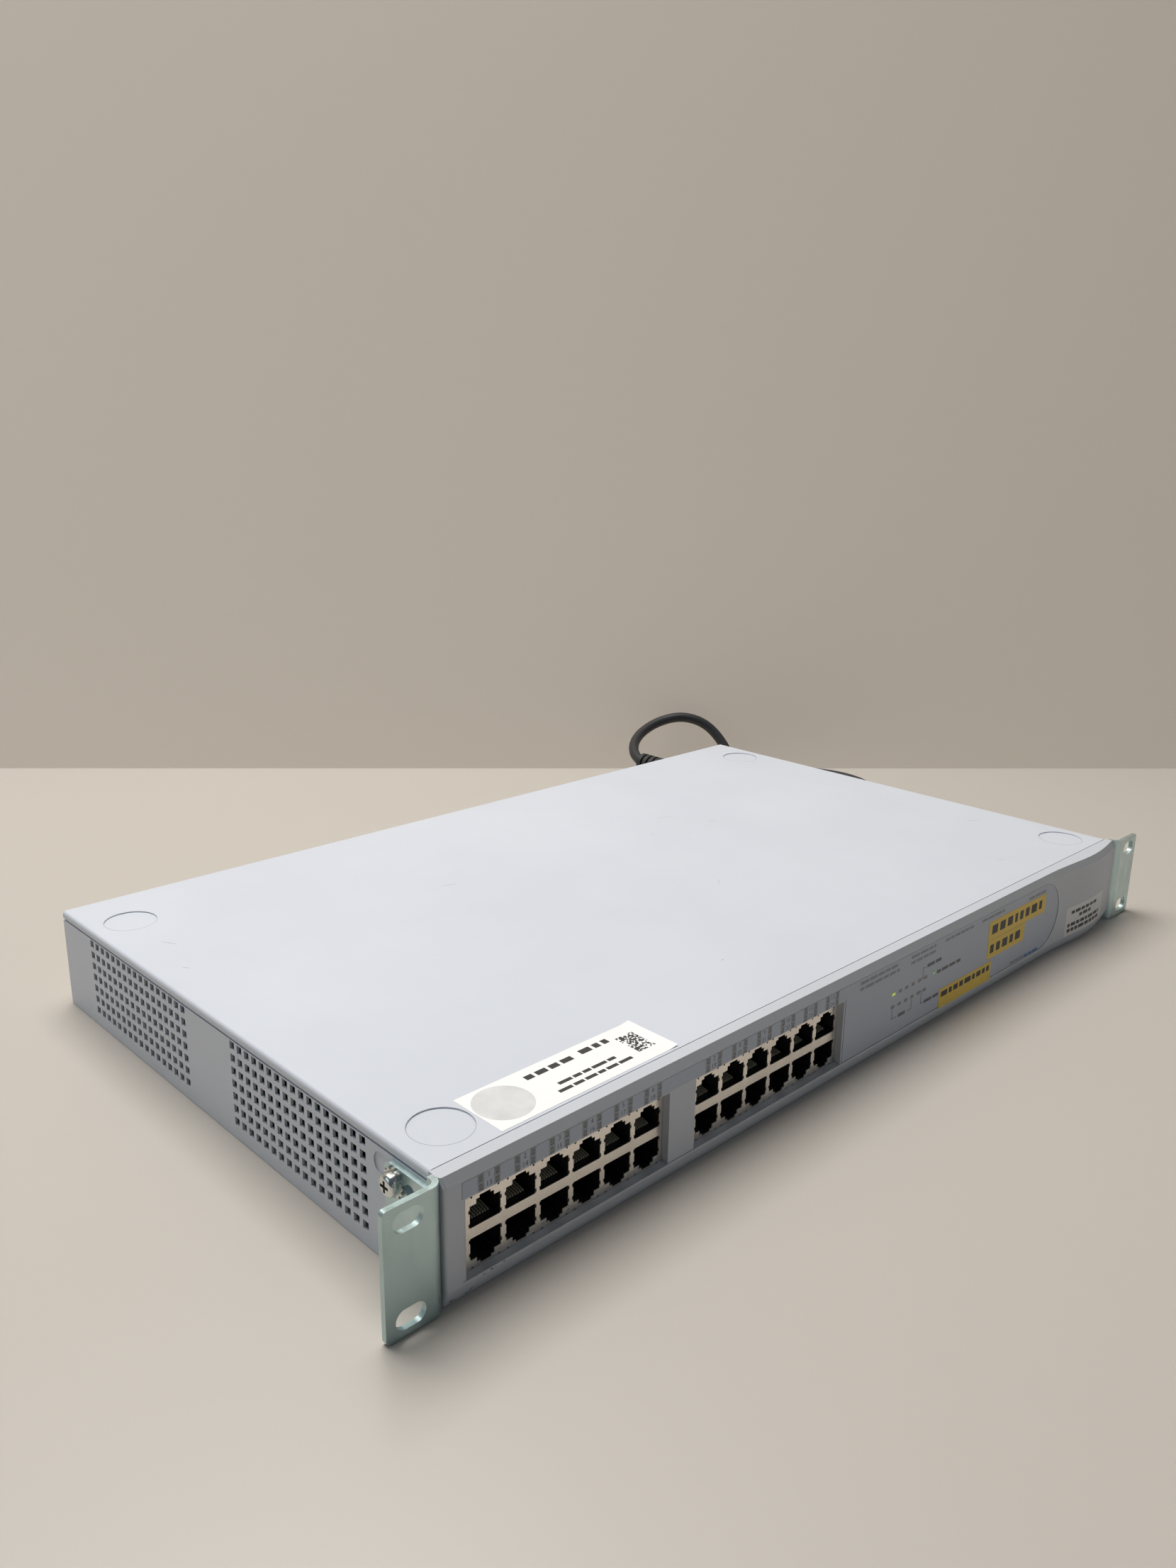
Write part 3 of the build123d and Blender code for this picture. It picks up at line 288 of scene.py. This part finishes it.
def glowing(name, colour, strength):
    """A lit indicator: a small clear lens with light in it."""
    material, nodes, links, shader = new_material(name)
    place = nodes.new("ShaderNodeTexCoord")
    cloud = noise(nodes, links, place.outputs["Object"], 800.0)
    factor = remap(nodes, links, cloud, 0.3, 0.7, 0.0, 1.0)
    deep = tuple(c * 0.7 for c in colour)
    links.new(blend_colours(nodes, links, factor, deep, colour), shader.inputs["Base Color"])
    shader.inputs["Roughness"].default_value = 0.3
    shader.inputs["Emission Color"].default_value = (*colour, 1.0)
    shader.inputs["Emission Strength"].default_value = strength
    return material


def make_materials():
    """One material for each slot of the record, and those of the added pieces."""
    made = {
        "cover_paint": surface("cover_paint", (0.590, 0.612, 0.660), (0.625, 0.647, 0.695), (0.36, 0.50),
                               grain=1500.0, relief=0.00004, crisp=True),
        "inner_steel": surface("inner_steel", (0.34, 0.35, 0.36), (0.44, 0.45, 0.46), (0.32, 0.46),
                               metallic=0.9, grain=400.0),
        "bezel_plastic": surface("bezel_plastic", (0.540, 0.555, 0.590), (0.570, 0.585, 0.620), (0.40, 0.52),
                                 grain=1800.0, relief=0.00003),
        "overlay_film": surface("overlay_film", (0.420, 0.455, 0.525), (0.440, 0.475, 0.545), (0.30, 0.38),
                                grain=2200.0, relief=0.00001),
        "light_guide": surface("light_guide", (0.16, 0.16, 0.155), (0.22, 0.22, 0.21), (0.25, 0.35),
                               grain=700.0, coat=0.3),
        "shield_steel": surface("shield_steel", (0.79, 0.73, 0.65), (0.92, 0.86, 0.775), (0.26, 0.38),
                                metallic=0.92, blotch=60.0, grain=500.0, relief=0.00001),
        "jack_plastic": surface("jack_plastic", (0.010, 0.010, 0.011), (0.018, 0.018, 0.019), (0.35, 0.5)),
        "gold": surface("gold", (0.80, 0.70, 0.50), (0.88, 0.78, 0.58), (0.30, 0.42), metallic=0.5,
                        blotch=200.0),
        "board": surface("board", (0.012, 0.085, 0.035), (0.02, 0.12, 0.05), (0.30, 0.42), grain=600.0),
        "component_plastic": surface("component_plastic", (0.015, 0.015, 0.017), (0.028, 0.028, 0.03),
                                     (0.42, 0.58), relief=0.00002),
        "capacitor_sleeve": surface("capacitor_sleeve", (0.010, 0.016, 0.045), (0.018, 0.026, 0.065),
                                    (0.22, 0.34)),
        "heatsink_aluminium": surface("heatsink_aluminium", (0.40, 0.41, 0.43), (0.52, 0.53, 0.55),
                                      (0.30, 0.45), metallic=0.9, stretch=(1, 12, 1)),
        "choke_copper": surface("choke_copper", (0.30, 0.08, 0.02), (0.48, 0.16, 0.05), (0.25, 0.4),
                                metallic=0.4, grain=1200.0, relief=0.0001),
        "standoff_brass": surface("standoff_brass", (0.50, 0.36, 0.13), (0.62, 0.46, 0.20), (0.25, 0.4),
                                  metallic=1.0),
        "screw_steel": surface("screw_steel", (0.50, 0.51, 0.51), (0.62, 0.63, 0.62), (0.22, 0.36),
                               metallic=0.95, blotch=120.0),
        "thumbscrew_steel": surface("thumbscrew_steel", (0.42, 0.42, 0.43), (0.54, 0.54, 0.55), (0.24, 0.38),
                                    metallic=0.95, blotch=90.0),
        "ear_zinc": surface("ear_zinc", (0.44, 0.56, 0.555), (0.58, 0.705, 0.70), (0.26, 0.44),
                            metallic=0.88, blotch=26.0, grain=260.0, relief=0.00001, stretch=(1, 1, 0.35)),
        "ear_screw_zinc": surface("ear_screw_zinc", (0.60, 0.61, 0.58), (0.74, 0.75, 0.72), (0.16, 0.28),
                                  metallic=0.97, blotch=150.0),
        "inlet_plastic": surface("inlet_plastic", (0.010, 0.010, 0.011), (0.02, 0.02, 0.021), (0.3, 0.45)),
        "cord_rubber": surface("cord_rubber", (0.014, 0.0145, 0.015), (0.024, 0.0245, 0.026), (0.40, 0.55),
                               blotch=40.0, grain=1600.0, relief=0.00003),
        "tie_plastic": surface("tie_plastic", (0.012, 0.012, 0.012), (0.03, 0.03, 0.03), (0.7, 0.9),
                               grain=2500.0, relief=0.0002),
        "blade_brass": surface("blade_brass", (0.60, 0.57, 0.50), (0.72, 0.69, 0.62), (0.18, 0.3),
                               metallic=1.0, blotch=80.0),
    }
    # painted shade on the bezel's sloping top edge and seam
    shade_slope(made["bezel_plastic"])
    made["print_grey"] = surface("print_grey", (0.10, 0.105, 0.115), (0.13, 0.135, 0.145), (0.4, 0.5))
    made["print_pale"] = surface("print_pale", (0.24, 0.25, 0.27), (0.28, 0.29, 0.31), (0.4, 0.5))
    made["print_black"] = surface("print_black", (0.02, 0.02, 0.022), (0.035, 0.035, 0.037), (0.4, 0.5))
    made["print_blue"] = surface("print_blue", (0.05, 0.14, 0.33), (0.06, 0.17, 0.38), (0.4, 0.5))
    made["sticker_yellow"] = surface("sticker_yellow", (0.74, 0.50, 0.055), (0.80, 0.56, 0.075), (0.32, 0.42),
                                     blotch=30.0)
    made["sticker_white"] = surface("sticker_white", (0.69, 0.68, 0.67), (0.74, 0.73, 0.72), (0.36, 0.48),
                                    blotch=25.0)
    made["sticker_bright"] = surface("sticker_bright", (0.88, 0.87, 0.85), (0.92, 0.91, 0.89), (0.36, 0.48),
                                     blotch=25.0)
    made["sticker_grey"] = surface("sticker_grey", (0.60, 0.595, 0.58), (0.72, 0.715, 0.695), (0.4, 0.5),
                                   blotch=120.0)
    # painted shade for the grooves round the cover's four bosses
    made["groove_shade"] = surface("groove_shade", (0.34, 0.35, 0.375), (0.40, 0.41, 0.435), (0.45, 0.55))
    made["scuff_grey"] = surface("scuff_grey", (0.36, 0.365, 0.37), (0.46, 0.465, 0.47), (0.4, 0.55))
    made["light_yellow"] = glowing("light_yellow", (0.62, 0.72, 0.16), 0.35)
    made["light_green"] = glowing("light_green", (0.40, 0.62, 0.38), 0.15)
    return made


def dress_nodes(materials):
    """Every CAD node that stays takes the material of its slot."""
    for part in frame["record"]["subparts"]:
        node = frame["nodes"][part["node"]]
        for slot in node.material_slots:
            slot.material = materials[part["material_slot"]]


# ---------------------------------------------------------------- building blocks
def add_piece(name, mesh, material, slot_name):
    """A finished mesh as a piece that rides on the switch."""
    mesh.materials.append(material)
    piece = bpy.data.objects.new(name, mesh)
    bpy.context.collection.objects.link(piece)
    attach(piece, BODY)


def mesh_from(build, name):
    """A mesh of what build(bmesh) makes, in millimetres."""
    shape = bmesh.new()
    build(shape)
    bmesh.ops.recalc_face_normals(shape, faces=shape.faces)
    bmesh.ops.scale(shape, vec=(MM, MM, MM), verts=shape.verts)
    mesh = bpy.data.meshes.new(name)
    shape.to_mesh(mesh)
    shape.free()
    return mesh


def front_at(x, z):
    """The front's y at (x, z) in millimetres: the outermost of bezel and film."""
    found = []
    for node in ("front_bezel", "overlay_label"):
        start = Vector((x, bezel_low.y - 20, z)) * MM
        hit, point, _, _ = frame["nodes"][node].ray_cast(start, Vector((0, 1, 0)))
        if hit:
            found.append(point.y / MM)
    return min(found)


def close_sheet(shape, outer, inner, columns, rows):
    """The faces and the rim of a thin sheet, from the two grids of its corners, row by row."""
    row = columns + 1
    for j in range(rows):
        for i in range(columns):
            a = j * row + i
            for side in (outer, inner):
                shape.faces.new((side[a], side[a + 1], side[a + 1 + row], side[a + row]))
    rim = list(range(row))
    rim += [j * row + columns for j in range(1, rows + 1)]
    rim += [rows * row + i for i in range(columns - 1, -1, -1)]
    rim += [j * row for j in range(rows - 1, 0, -1)]
    for a, b in zip(rim, rim[1:] + rim[:1]):
        shape.faces.new((outer[a], outer[b], inner[b], inner[a]))


def front_patch(shape, x_low, x_high, z_low, z_high, thick, lift=0.0, across=1, up=1):
    """A thin sheet that lies on the front and follows it, in across x up cells."""
    front = []
    back = []
    for j in range(up + 1):
        for i in range(across + 1):
            x = x_low + (x_high - x_low) * i / across
            z = z_low + (z_high - z_low) * j / up
            y = front_at(x, z) - lift
            front.append(shape.verts.new((x, y - thick, z)))
            back.append(shape.verts.new((x, y, z)))
    close_sheet(shape, front, back, across, up)


def bar(shape, x_low, x_high, z_low, z_high, y, thick=0.02):
    """A thin printed bar on a flat front at y."""
    box(shape, (x_low, y - thick, z_low), (x_high, y, z_high))


def box(shape, low, high):
    """A plain block between two corners."""
    centre = [(a + b) / 2 for a, b in zip(low, high)]
    size = [b - a for a, b in zip(low, high)]
    matrix = Matrix.Translation(centre) @ Matrix.Diagonal((*size, 1))
    bmesh.ops.create_cube(shape, size=1, matrix=matrix)


def add_text(shape, words, x, z, height, y):
    """Plain figures on the front, centred at (x, z)."""
    half_depth = 0.012
    curve = bpy.data.curves.new("figures", "FONT")
    curve.body = words
    curve.size = height
    curve.align_x = "CENTER"
    curve.align_y = "CENTER"
    curve.extrude = half_depth
    curve.resolution_u = 2
    source = bpy.data.objects.new("figures", curve)
    mesh = bpy.data.meshes.new_from_object(source)
    stand = Matrix.Translation((x, y - half_depth, z)) @ Matrix.Rotation(pi / 2, 4, "X")
    mesh.transform(stand)
    shape.from_mesh(mesh)
    bpy.data.objects.remove(source)
    bpy.data.curves.remove(curve)
    bpy.data.meshes.remove(mesh)


# ---------------------------------------------------------------- print on the front
status_rows = (25.2, 19.4)              # heights of the two rows of status indicators
status_x = 11.2
status_pitch = 4.9
power_light_x = 42.0
tip_z = 37.0                            # middle of the two rows of port indicators
tip_rise = 1.45                         # from there to each row
tip_spread = 3.1                        # from a column's middle to its left and right indicators
columns_left = 0.95                     # how far the columns sit left of their shield's middle


def port_columns():
    """(number of the upper socket, x of its column) for the twelve columns."""
    for block, centre in enumerate(block_centres):
        for i in range(ports_per_row):
            x = centre - columns_left + (i - (ports_per_row - 1) / 2) * port_pitch
            yield block * ports_per_row + i + 1, x


def port_numbers(shape):
    """Numbers 1 to 12 over the upper sockets, and 13 to 24 in the row below for the lower ones."""
    height = 2.5
    for number, x in port_columns():
        add_text(shape, str(number), x, tip_z + tip_rise, height, film_y)
        add_text(shape, str(number + 12), x, tip_z - tip_rise, height, film_y)


def tip_frames(shape):
    """A printed frame round each port indicator's tip."""
    for _, x in port_columns():
        for side in (-tip_spread, tip_spread):
            for z in (tip_z + tip_rise, tip_z - tip_rise):
                ring(shape, x + side, z, 1.0, 1.2, 0.2, film_y)


def ring(shape, x, z, half_width, half_height, line, y):
    """A thin rectangular frame on a flat front, outside its half sizes."""
    outer_x = half_width + line
    outer_z = half_height + line
    bar(shape, x - outer_x, x + outer_x, z + half_height, z + outer_z, y)
    bar(shape, x - outer_x, x + outer_x, z - outer_z, z - half_height, y)
    bar(shape, x - outer_x, x - half_width, z - half_height, z + half_height, y)
    bar(shape, x + half_width, x + outer_x, z - half_height, z + half_height, y)


def words_between(draw, start, end, height, shortest, longest, gap=0.5, too_short=1.0):
    """(start, length) of bars of uneven length, one for each word of a line of that height."""
    x = start
    while x < end - too_short:
        length = min(draw.uniform(shortest, longest), end - x)
        yield x, length
        x += length + height * gap


def word_bars(shape, x_low, x_high, z, height, seed, y):
    """A caption on the film as blank bars."""
    for x, length in words_between(random.Random(seed), x_low, x_high, height, 2.6, 6.4, 0.55, 1.2):
        bar(shape, x, x + length, z - height / 2, z + height / 2, y)


def caption_bars(shape):
    """The pale captions along the field's upper edge and beside its lower edge."""
    for seed, (x_low, x_high, z) in enumerate((
        (-14.1, 14.2, 38.0), (-14.1, 14.2, 35.4), (22.8, 42.0, 38.0), (22.8, 43.6, 35.4),
        (49.7, 73.2, 37.9), (80.8, 101.3, 37.9), (124.5, 141.5, 36.9), (112.4, 124.6, 7.9),
    )):
        word_bars(shape, x_low, x_high, z, 1.3, seed, film_y)


def status_bars(shape):
    """The darker captions beside the status indicators."""
    for seed, (x_low, x_high, z) in enumerate((
        (36.2, 47.6, 30.2), (44.8, 64.3, 24.6), (15.9, 21.3, 13.9), (36.0, 47.6, 13.6),
    )):
        word_bars(shape, x_low, x_high, z, 1.5, seed + 20, film_y)


def status_lines(shape):
    """The thin lines that lead from groups of indicators to their captions."""
    line = 0.35
    upper, lower = status_rows
    under_unit = 13.7                   # lowest z of the bracket below the first indicators
    under_module = 13.5                 # lowest z of the elbow below the last indicator
    over_module = 30.2                  # highest z of the elbow above it
    unit_x = status_x - 0.3
    unit_end = status_x + 3 * status_pitch
    module_x = status_x + 4 * status_pitch + 1.4
    module_end = status_x + 5 * status_pitch - 1.4
    elbow_x = status_x + 4 * status_pitch + 2.3
    elbow_end = elbow_x + 2.1
    for x_low, x_high, z_low, z_high in (
        (unit_x, unit_x + line, under_unit, lower - 1.2),
        (unit_x, unit_x + 3.7, under_unit, under_unit + line),
        (unit_end - 0.2, unit_end - 0.2 + line, under_unit, lower - 1.2),
        (unit_end - 3.0, unit_end, under_unit, under_unit + line),
        (module_x, module_end, lower, lower + line),
        (elbow_x, elbow_x + line, under_module, lower),
        (elbow_x, elbow_end, under_module, under_module + line),
        (module_x, module_end, upper, upper + line),
        (elbow_x, elbow_x + line, upper, over_module),
        (elbow_x, elbow_end, over_module - line, over_module),
    ):
        bar(shape, x_low, x_high, z_low, z_high, film_y)


def blue_mark(shape):
    """A small blue bar in place of a name, near the field's lower right."""
    word_bars(shape, 125.6, 141.0, 7.6, 1.3, 7, film_y)


def lit_tip(x, z):
    """A build function for the lens of a lit status indicator."""
    half_width = 1.15
    half_height = 0.6
    front = film_y - 0.12
    back = film_y + 0.1

    def build(shape):
        box(shape, (x - half_width, front, z - half_height), (x + half_width, back, z + half_height))
    return build


def add_print(materials):
    """All that is printed on the film, and the two lit indicators."""
    for name, build, material in (
        ("port_numbers", port_numbers, "print_grey"), ("tip_frames", tip_frames, "print_pale"),
        ("caption_bars", caption_bars, "print_pale"), ("status_bars", status_bars, "print_grey"),
        ("status_lines", status_lines, "print_grey"), ("blue_mark", blue_mark, "print_blue"),
    ):
        add_piece(name, mesh_from(build, name), materials[material], "overlay_film")
    for name, x, material in (
        ("status_lamp", status_x, "light_yellow"), ("power_lamp", power_light_x, "light_green"),
    ):
        lens = mesh_from(lit_tip(x, status_rows[0]), name)
        add_piece(name, lens, materials[material], "light_guide")


# ---------------------------------------------------------------- stickers
sticker_thick = 0.08


def front_sticker(name, material, x_low, x_high, z_low, z_high, across, lines, materials):
    """A sticker on the front, bent in across steps, with rows of blank bars for its lines.

    Each line is (height above the lower edge, height of its bars, start, end from the left edge).
    """
    def sheet(shape):
        front_patch(shape, x_low, x_high, z_low, z_high, sticker_thick, 0.0, across, 2)

    def words(shape):
        ink = 0.015
        draw = random.Random(name)
        for rise, height, start, end in lines:
            z = z_low + rise
            for x, length in words_between(draw, x_low + start, x_low + end, height, 2.2, 5.5):
                front_patch(shape, x, x + length, z, z + height, ink, sticker_thick, 2, 1)

    add_piece(name, mesh_from(sheet, name), materials[material], "overlay_film")
    add_piece(name + "_print", mesh_from(words, name + "_print"), materials["print_black"], "overlay_film")


label_low = Vector((-191.4, seam_y + 1.2, cover_z))
label_high = Vector((-112.4, seam_y + 25.2, cover_z + sticker_thick))
label_ink = 0.02


def label_sheet(shape):
    """The white sticker on the cover, whose right edge has come up a little."""
    columns = 32
    rows = 6
    curl_from = 0.93                    # share of the width that still lies flat
    curl_height = 0.5
    under = []
    upper = []
    for j in range(rows + 1):
        for i in range(columns + 1):
            x = label_low.x + (label_high.x - label_low.x) * i / columns
            y = label_low.y + (label_high.y - label_low.y) * j / rows
            curl = curl_height * max(0.0, (i / columns - curl_from) / (1 - curl_from)) ** 2
            under.append(shape.verts.new((x, y, label_low.z + curl)))
            upper.append(shape.verts.new((x, y, label_high.z + curl)))
    close_sheet(shape, upper, under, columns, rows)


def label_block(shape, x, y, width, height):
    """A printed block on that sticker, whose left front corner is (x, y) from the sticker's own."""
    corner = Vector((label_low.x + x, label_low.y + y, label_high.z))
    box(shape, corner, corner + Vector((width, height, label_ink)))


def label_print(shape):
    """Blank bars for the sticker's four lines, and a square of random dots in place of its code."""
    draw = random.Random(3)
    for start, end, y, height in (
        (25.5, 46.5, 17.4, 2.6), (50.5, 66.0, 17.8, 2.8), (31.4, 57.4, 8.2, 1.6), (28.2, 63.0, 4.4, 1.6),
    ):
        for x, length in words_between(draw, start, end, height, 2.5, 6.5):
            label_block(shape, x, y, length, height)

    cells = 21
    corner_cells = 5
    cell = 0.57
    grid_x, grid_y = 66.1, 6.0
    for i in range(cells):
        for j in range(cells):
            left, right = i < corner_cells, i >= cells - corner_cells
            near, far = j < corner_cells, j >= cells - corner_cells
            corner = (left and (near or far)) or (right and far)
            if draw.random() < (0.85 if corner else 0.5):
                label_block(shape, grid_x + i * cell, grid_y + j * cell, cell, cell)


def label_badge(shape):
    """A plain round patch in place of the sticker's mark."""
    radius = 10.3
    middle = Vector((label_low.x + 10.9, label_low.y + 12.4, label_high.z + label_ink / 2))
    bmesh.ops.create_cone(shape, cap_ends=True, segments=48, radius1=radius, radius2=radius,
                          depth=label_ink, matrix=Matrix.Translation(middle))


def add_top_sticker(materials):
    """The white sticker on the cover's front left, with blank bars, a plain badge and a dot grid."""
    for name, build, material in (
        ("top_sticker", label_sheet, "sticker_bright"), ("top_sticker_print", label_print, "print_black"),
        ("top_sticker_badge", label_badge, "sticker_grey"),
    ):
        add_piece(name, mesh_from(build, name), materials[material], "cover_paint")


def add_stickers(materials):
    """One white sticker on the cover, three yellow ones and a white one on the front."""
    add_top_sticker(materials)
    front_sticker("yellow_sticker_a", "sticker_yellow", 88.0, 142.0, 26.0, 35.4, 6,
                  ((2.6, 4.4, 3.0, 50.5),), materials)
    front_sticker("yellow_sticker_b", "sticker_yellow", 88.4, 122.8, 16.8, 25.8, 6,
                  ((2.4, 4.2, 2.4, 32.0),), materials)
    front_sticker("yellow_sticker_c", "sticker_yellow", 48.6, 93.2, 6.0, 15.2, 6,
                  ((5.0, 2.6, 1.5, 43.0), (1.2, 2.6, 1.5, 20.0)), materials)
    front_sticker("white_sticker", "sticker_white", 165.5, 205.5, 5.8, 21.2, 20,
                  ((11.2, 1.7, 5.0, 32.0), (8.4, 1.7, 13.0, 25.0), (4.6, 1.8, 2.4, 36.0),
                   (1.8, 1.8, 2.4, 36.0)), materials)


# ---------------------------------------------------------------- wear, and painted shade in the cover's grooves
def cover_mark(shape, x, y, length, width, angle):
    """A thin mark on the cover, pointed at both ends."""
    depth = 0.012
    turn = Matrix.Translation((x, y, cover_z + depth / 2)) @ Matrix.Rotation(radians(angle), 4, "Z")
    bmesh.ops.create_cone(shape, cap_ends=True, segments=6, radius1=0.5, radius2=0.5, depth=depth,
                          matrix=turn @ Matrix.Diagonal((length, width, 1, 1)))


def cover_marks(shape):
    """The few light scrapes and specks on the cover."""
    for x, behind_seam, length, width, angle in (
        (195.8, 62.5, 9.0, 0.5, -20), (148.3, 20.6, 4.5, 0.45, -35), (162.7, 4.9, 1.0, 0.8, 0),
        (47.0, 162.8, 0.9, 0.8, 0), (-46.3, 36.9, 1.2, 0.8, 20), (74.0, 178.0, 11.0, 0.35, -28),
        (88.0, 157.0, 7.0, 0.35, -40), (-201.4, 199.7, 9.0, 0.45, -62), (-207.3, 172.9, 4.0, 0.4, -60),
        (-76.6, 175.9, 8.0, 0.35, -15), (20.0, 95.0, 6.0, 0.3, 35),
    ):
        cover_mark(shape, x, seam_y + behind_seam, length, width, angle)


def ring_lines(shape):
    """The painted shade in the groove around each of the four round bosses of the cover."""
    boss_x = 203.0
    boss_rows = (16.3, 232.3)           # behind the seam
    inner, outer = 10.62, 10.82
    low, high = cover_z + 0.002, cover_z + 0.02
    segments = 72
    for x in (-boss_x, boss_x):
        for row in boss_rows:
            loops = []
            for radius, z in ((inner, low), (inner, high), (outer, high), (outer, low)):
                loop = []
                for i in range(segments):
                    angle = tau * i / segments
                    place = (x + radius * cos(angle), seam_y + row + radius * sin(angle), z)
                    loop.append(shape.verts.new(place))
                loops.append(loop)
            for first, second in zip(loops, loops[1:] + loops[:1]):
                for i in range(segments):
                    j = (i + 1) % segments
                    shape.faces.new((first[i], first[j], second[j], second[i]))


def bezel_marks(shape):
    """Dark flecks below the left window and on the bezel's lower left corner."""
    ink = 0.012
    draw = random.Random(11)
    corner_x = bezel_low.x + 1.5
    corner_z = bezel_low.z + 0.3
    for x_low, x_high, z_low, z_high, count in (
        (-207.5, -198.5, 5.2, 5.9, 9), (corner_x, corner_x + 8.5, corner_z, corner_z + 1.4, 14),
    ):
        for _ in range(count):
            x = draw.uniform(x_low, x_high)
            z = draw.uniform(z_low, z_high)
            length = draw.uniform(0.3, 1.1)
            height = draw.uniform(0.12, 0.3)
            front_patch(shape, x, x + length, z, z + height, ink)


def add_wear(materials):
    """Small signs of use, and the painted shade in the cover's grooves."""
    for name, build, material, slot_name in (
        ("ring_lines", ring_lines, "groove_shade", "cover_paint"),
        ("cover_marks", cover_marks, "scuff_grey", "cover_paint"),
        ("bezel_marks", bezel_marks, "print_black", "bezel_plastic"),
    ):
        add_piece(name, mesh_from(build, name), materials[material], slot_name)


# ---------------------------------------------------------------- mains lead
def add_lead(materials):
    """The whole mains lead, from its boot through the arch and the coil to the mains plug."""
    diameter = 7.0
    floor_z = diameter / 2
    inlet_x = (inlet_low.x + inlet_high.x) / 2
    inlet_z = (inlet_low.z + inlet_high.z) / 2
    cord_start_y = boot_high.y
    coil_x = (coil_low.x + coil_high.x) / 2
    coil_y = (coil_low.y + coil_high.y) / 2
    upper_z = coil_high.z - floor_z
    outer_turn = (coil_high.x - coil_low.x) / 2 - floor_z
    mains_x = (plug_low.x + plug_high.x) / 2
    mains_z = (plug_low.z + plug_high.z) / 2
    entry_angle = 25.0
    coil_turns = 5.25
    climb_turns = 0.6                   # of a turn, for the climb to the coil's upper layer
    steps = 84

    # Out of the boot, over in an arch and down to the floor.
    points = [
        (inlet_x, cord_start_y, inlet_z + 1.2),
        (inlet_x + 2.2, cord_start_y + 7.4, inlet_z + 2.2),
        (inlet_x + 8.8, cord_start_y + 17.6, inlet_z + 4.4),
        (inlet_x + 20.2, cord_start_y + 27.8, inlet_z + 7.4),
        (inlet_x + 34.0, cord_start_y + 33.0, inlet_z + 12.0),
        (inlet_x + 51.2, cord_start_y + 32.8, inlet_z + 16.8),
        (inlet_x + 65.8, cord_start_y + 24.6, inlet_z + 20.0),
        (inlet_x + 77.7, cord_start_y + 13.4, inlet_z + 16.0),
        (inlet_x + 84.6, cord_start_y + 2.8, inlet_z + 5.4),
        (inlet_x + 84.4, cord_start_y - 11.4, inlet_z - 10.6),
        (inlet_x + 89.5, cord_start_y - 29.8, floor_z + 1.3),
        (inlet_x + 95.0, cord_start_y - 44.4, floor_z),
        (inlet_x + 101.4, cord_start_y - 58.2, floor_z),
    ]
    # Round and round on the floor, each turn inside the last, then up, and outwards again on top.
    middle = coil_turns / 2
    for step in range(steps + 1):
        turns = coil_turns * step / steps
        radius = outer_turn - diameter * (middle - abs(turns - middle))
        climb = min(1.0, max(0.0, (turns - middle) / climb_turns + 0.5))
        rise = floor_z + (upper_z - floor_z) * climb * climb * (3 - 2 * climb)
        angle = radians(entry_angle) - tau * turns
        points.append((coil_x + radius * cos(angle), coil_y + radius * sin(angle), rise))
    # Off the coil at its front and on to the plug.
    points += [
        (coil_x + 9.0, coil_y - 45.0, upper_z - 0.4),
        (coil_x - 0.9, coil_y - 53.2, upper_z - 0.7),
        (coil_x - 8.3, coil_y - 63.7, upper_z - 0.4),
        (coil_x - 13.0, coil_y - 76.0, upper_z + 0.1),
        (coil_x - 15.2, coil_y - 89.0, upper_z + 0.7),
        (mains_x - 0.4, coil_y - 102.5, mains_z - 0.2),
        (mains_x, plug_high.y, mains_z),
    ]
    curve = bpy.data.curves.new("mains_lead", "CURVE")
    curve.dimensions = "3D"
    spline = curve.splines.new("NURBS")
    spline.points.add(len(points) - 1)
    for point, place in zip(spline.points, points):
        point.co = (*(Vector(place) * MM), 1.0)
    spline.order_u = 3
    spline.use_endpoint_u = True
    spline.resolution_u = 6
    curve.bevel_depth = diameter / 2 * MM
    curve.bevel_resolution = 5
    curve.use_fill_caps = True
    curve.materials.append(materials["cord_rubber"])
    lead = bpy.data.objects.new("mains_lead", curve)
    bpy.context.collection.objects.link(lead)
    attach(lead, BODY)
    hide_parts("power_cord", "cord_coil", "plug_lead")
    tuple(Vector(points[0]) * MM)


# ---------------------------------------------------------------- the scene
add_camera()
add_studio()
finishes = make_materials()
dress_nodes(finishes)
add_print(finishes)
add_stickers(finishes)
add_wear(finishes)
add_lead(finishes)
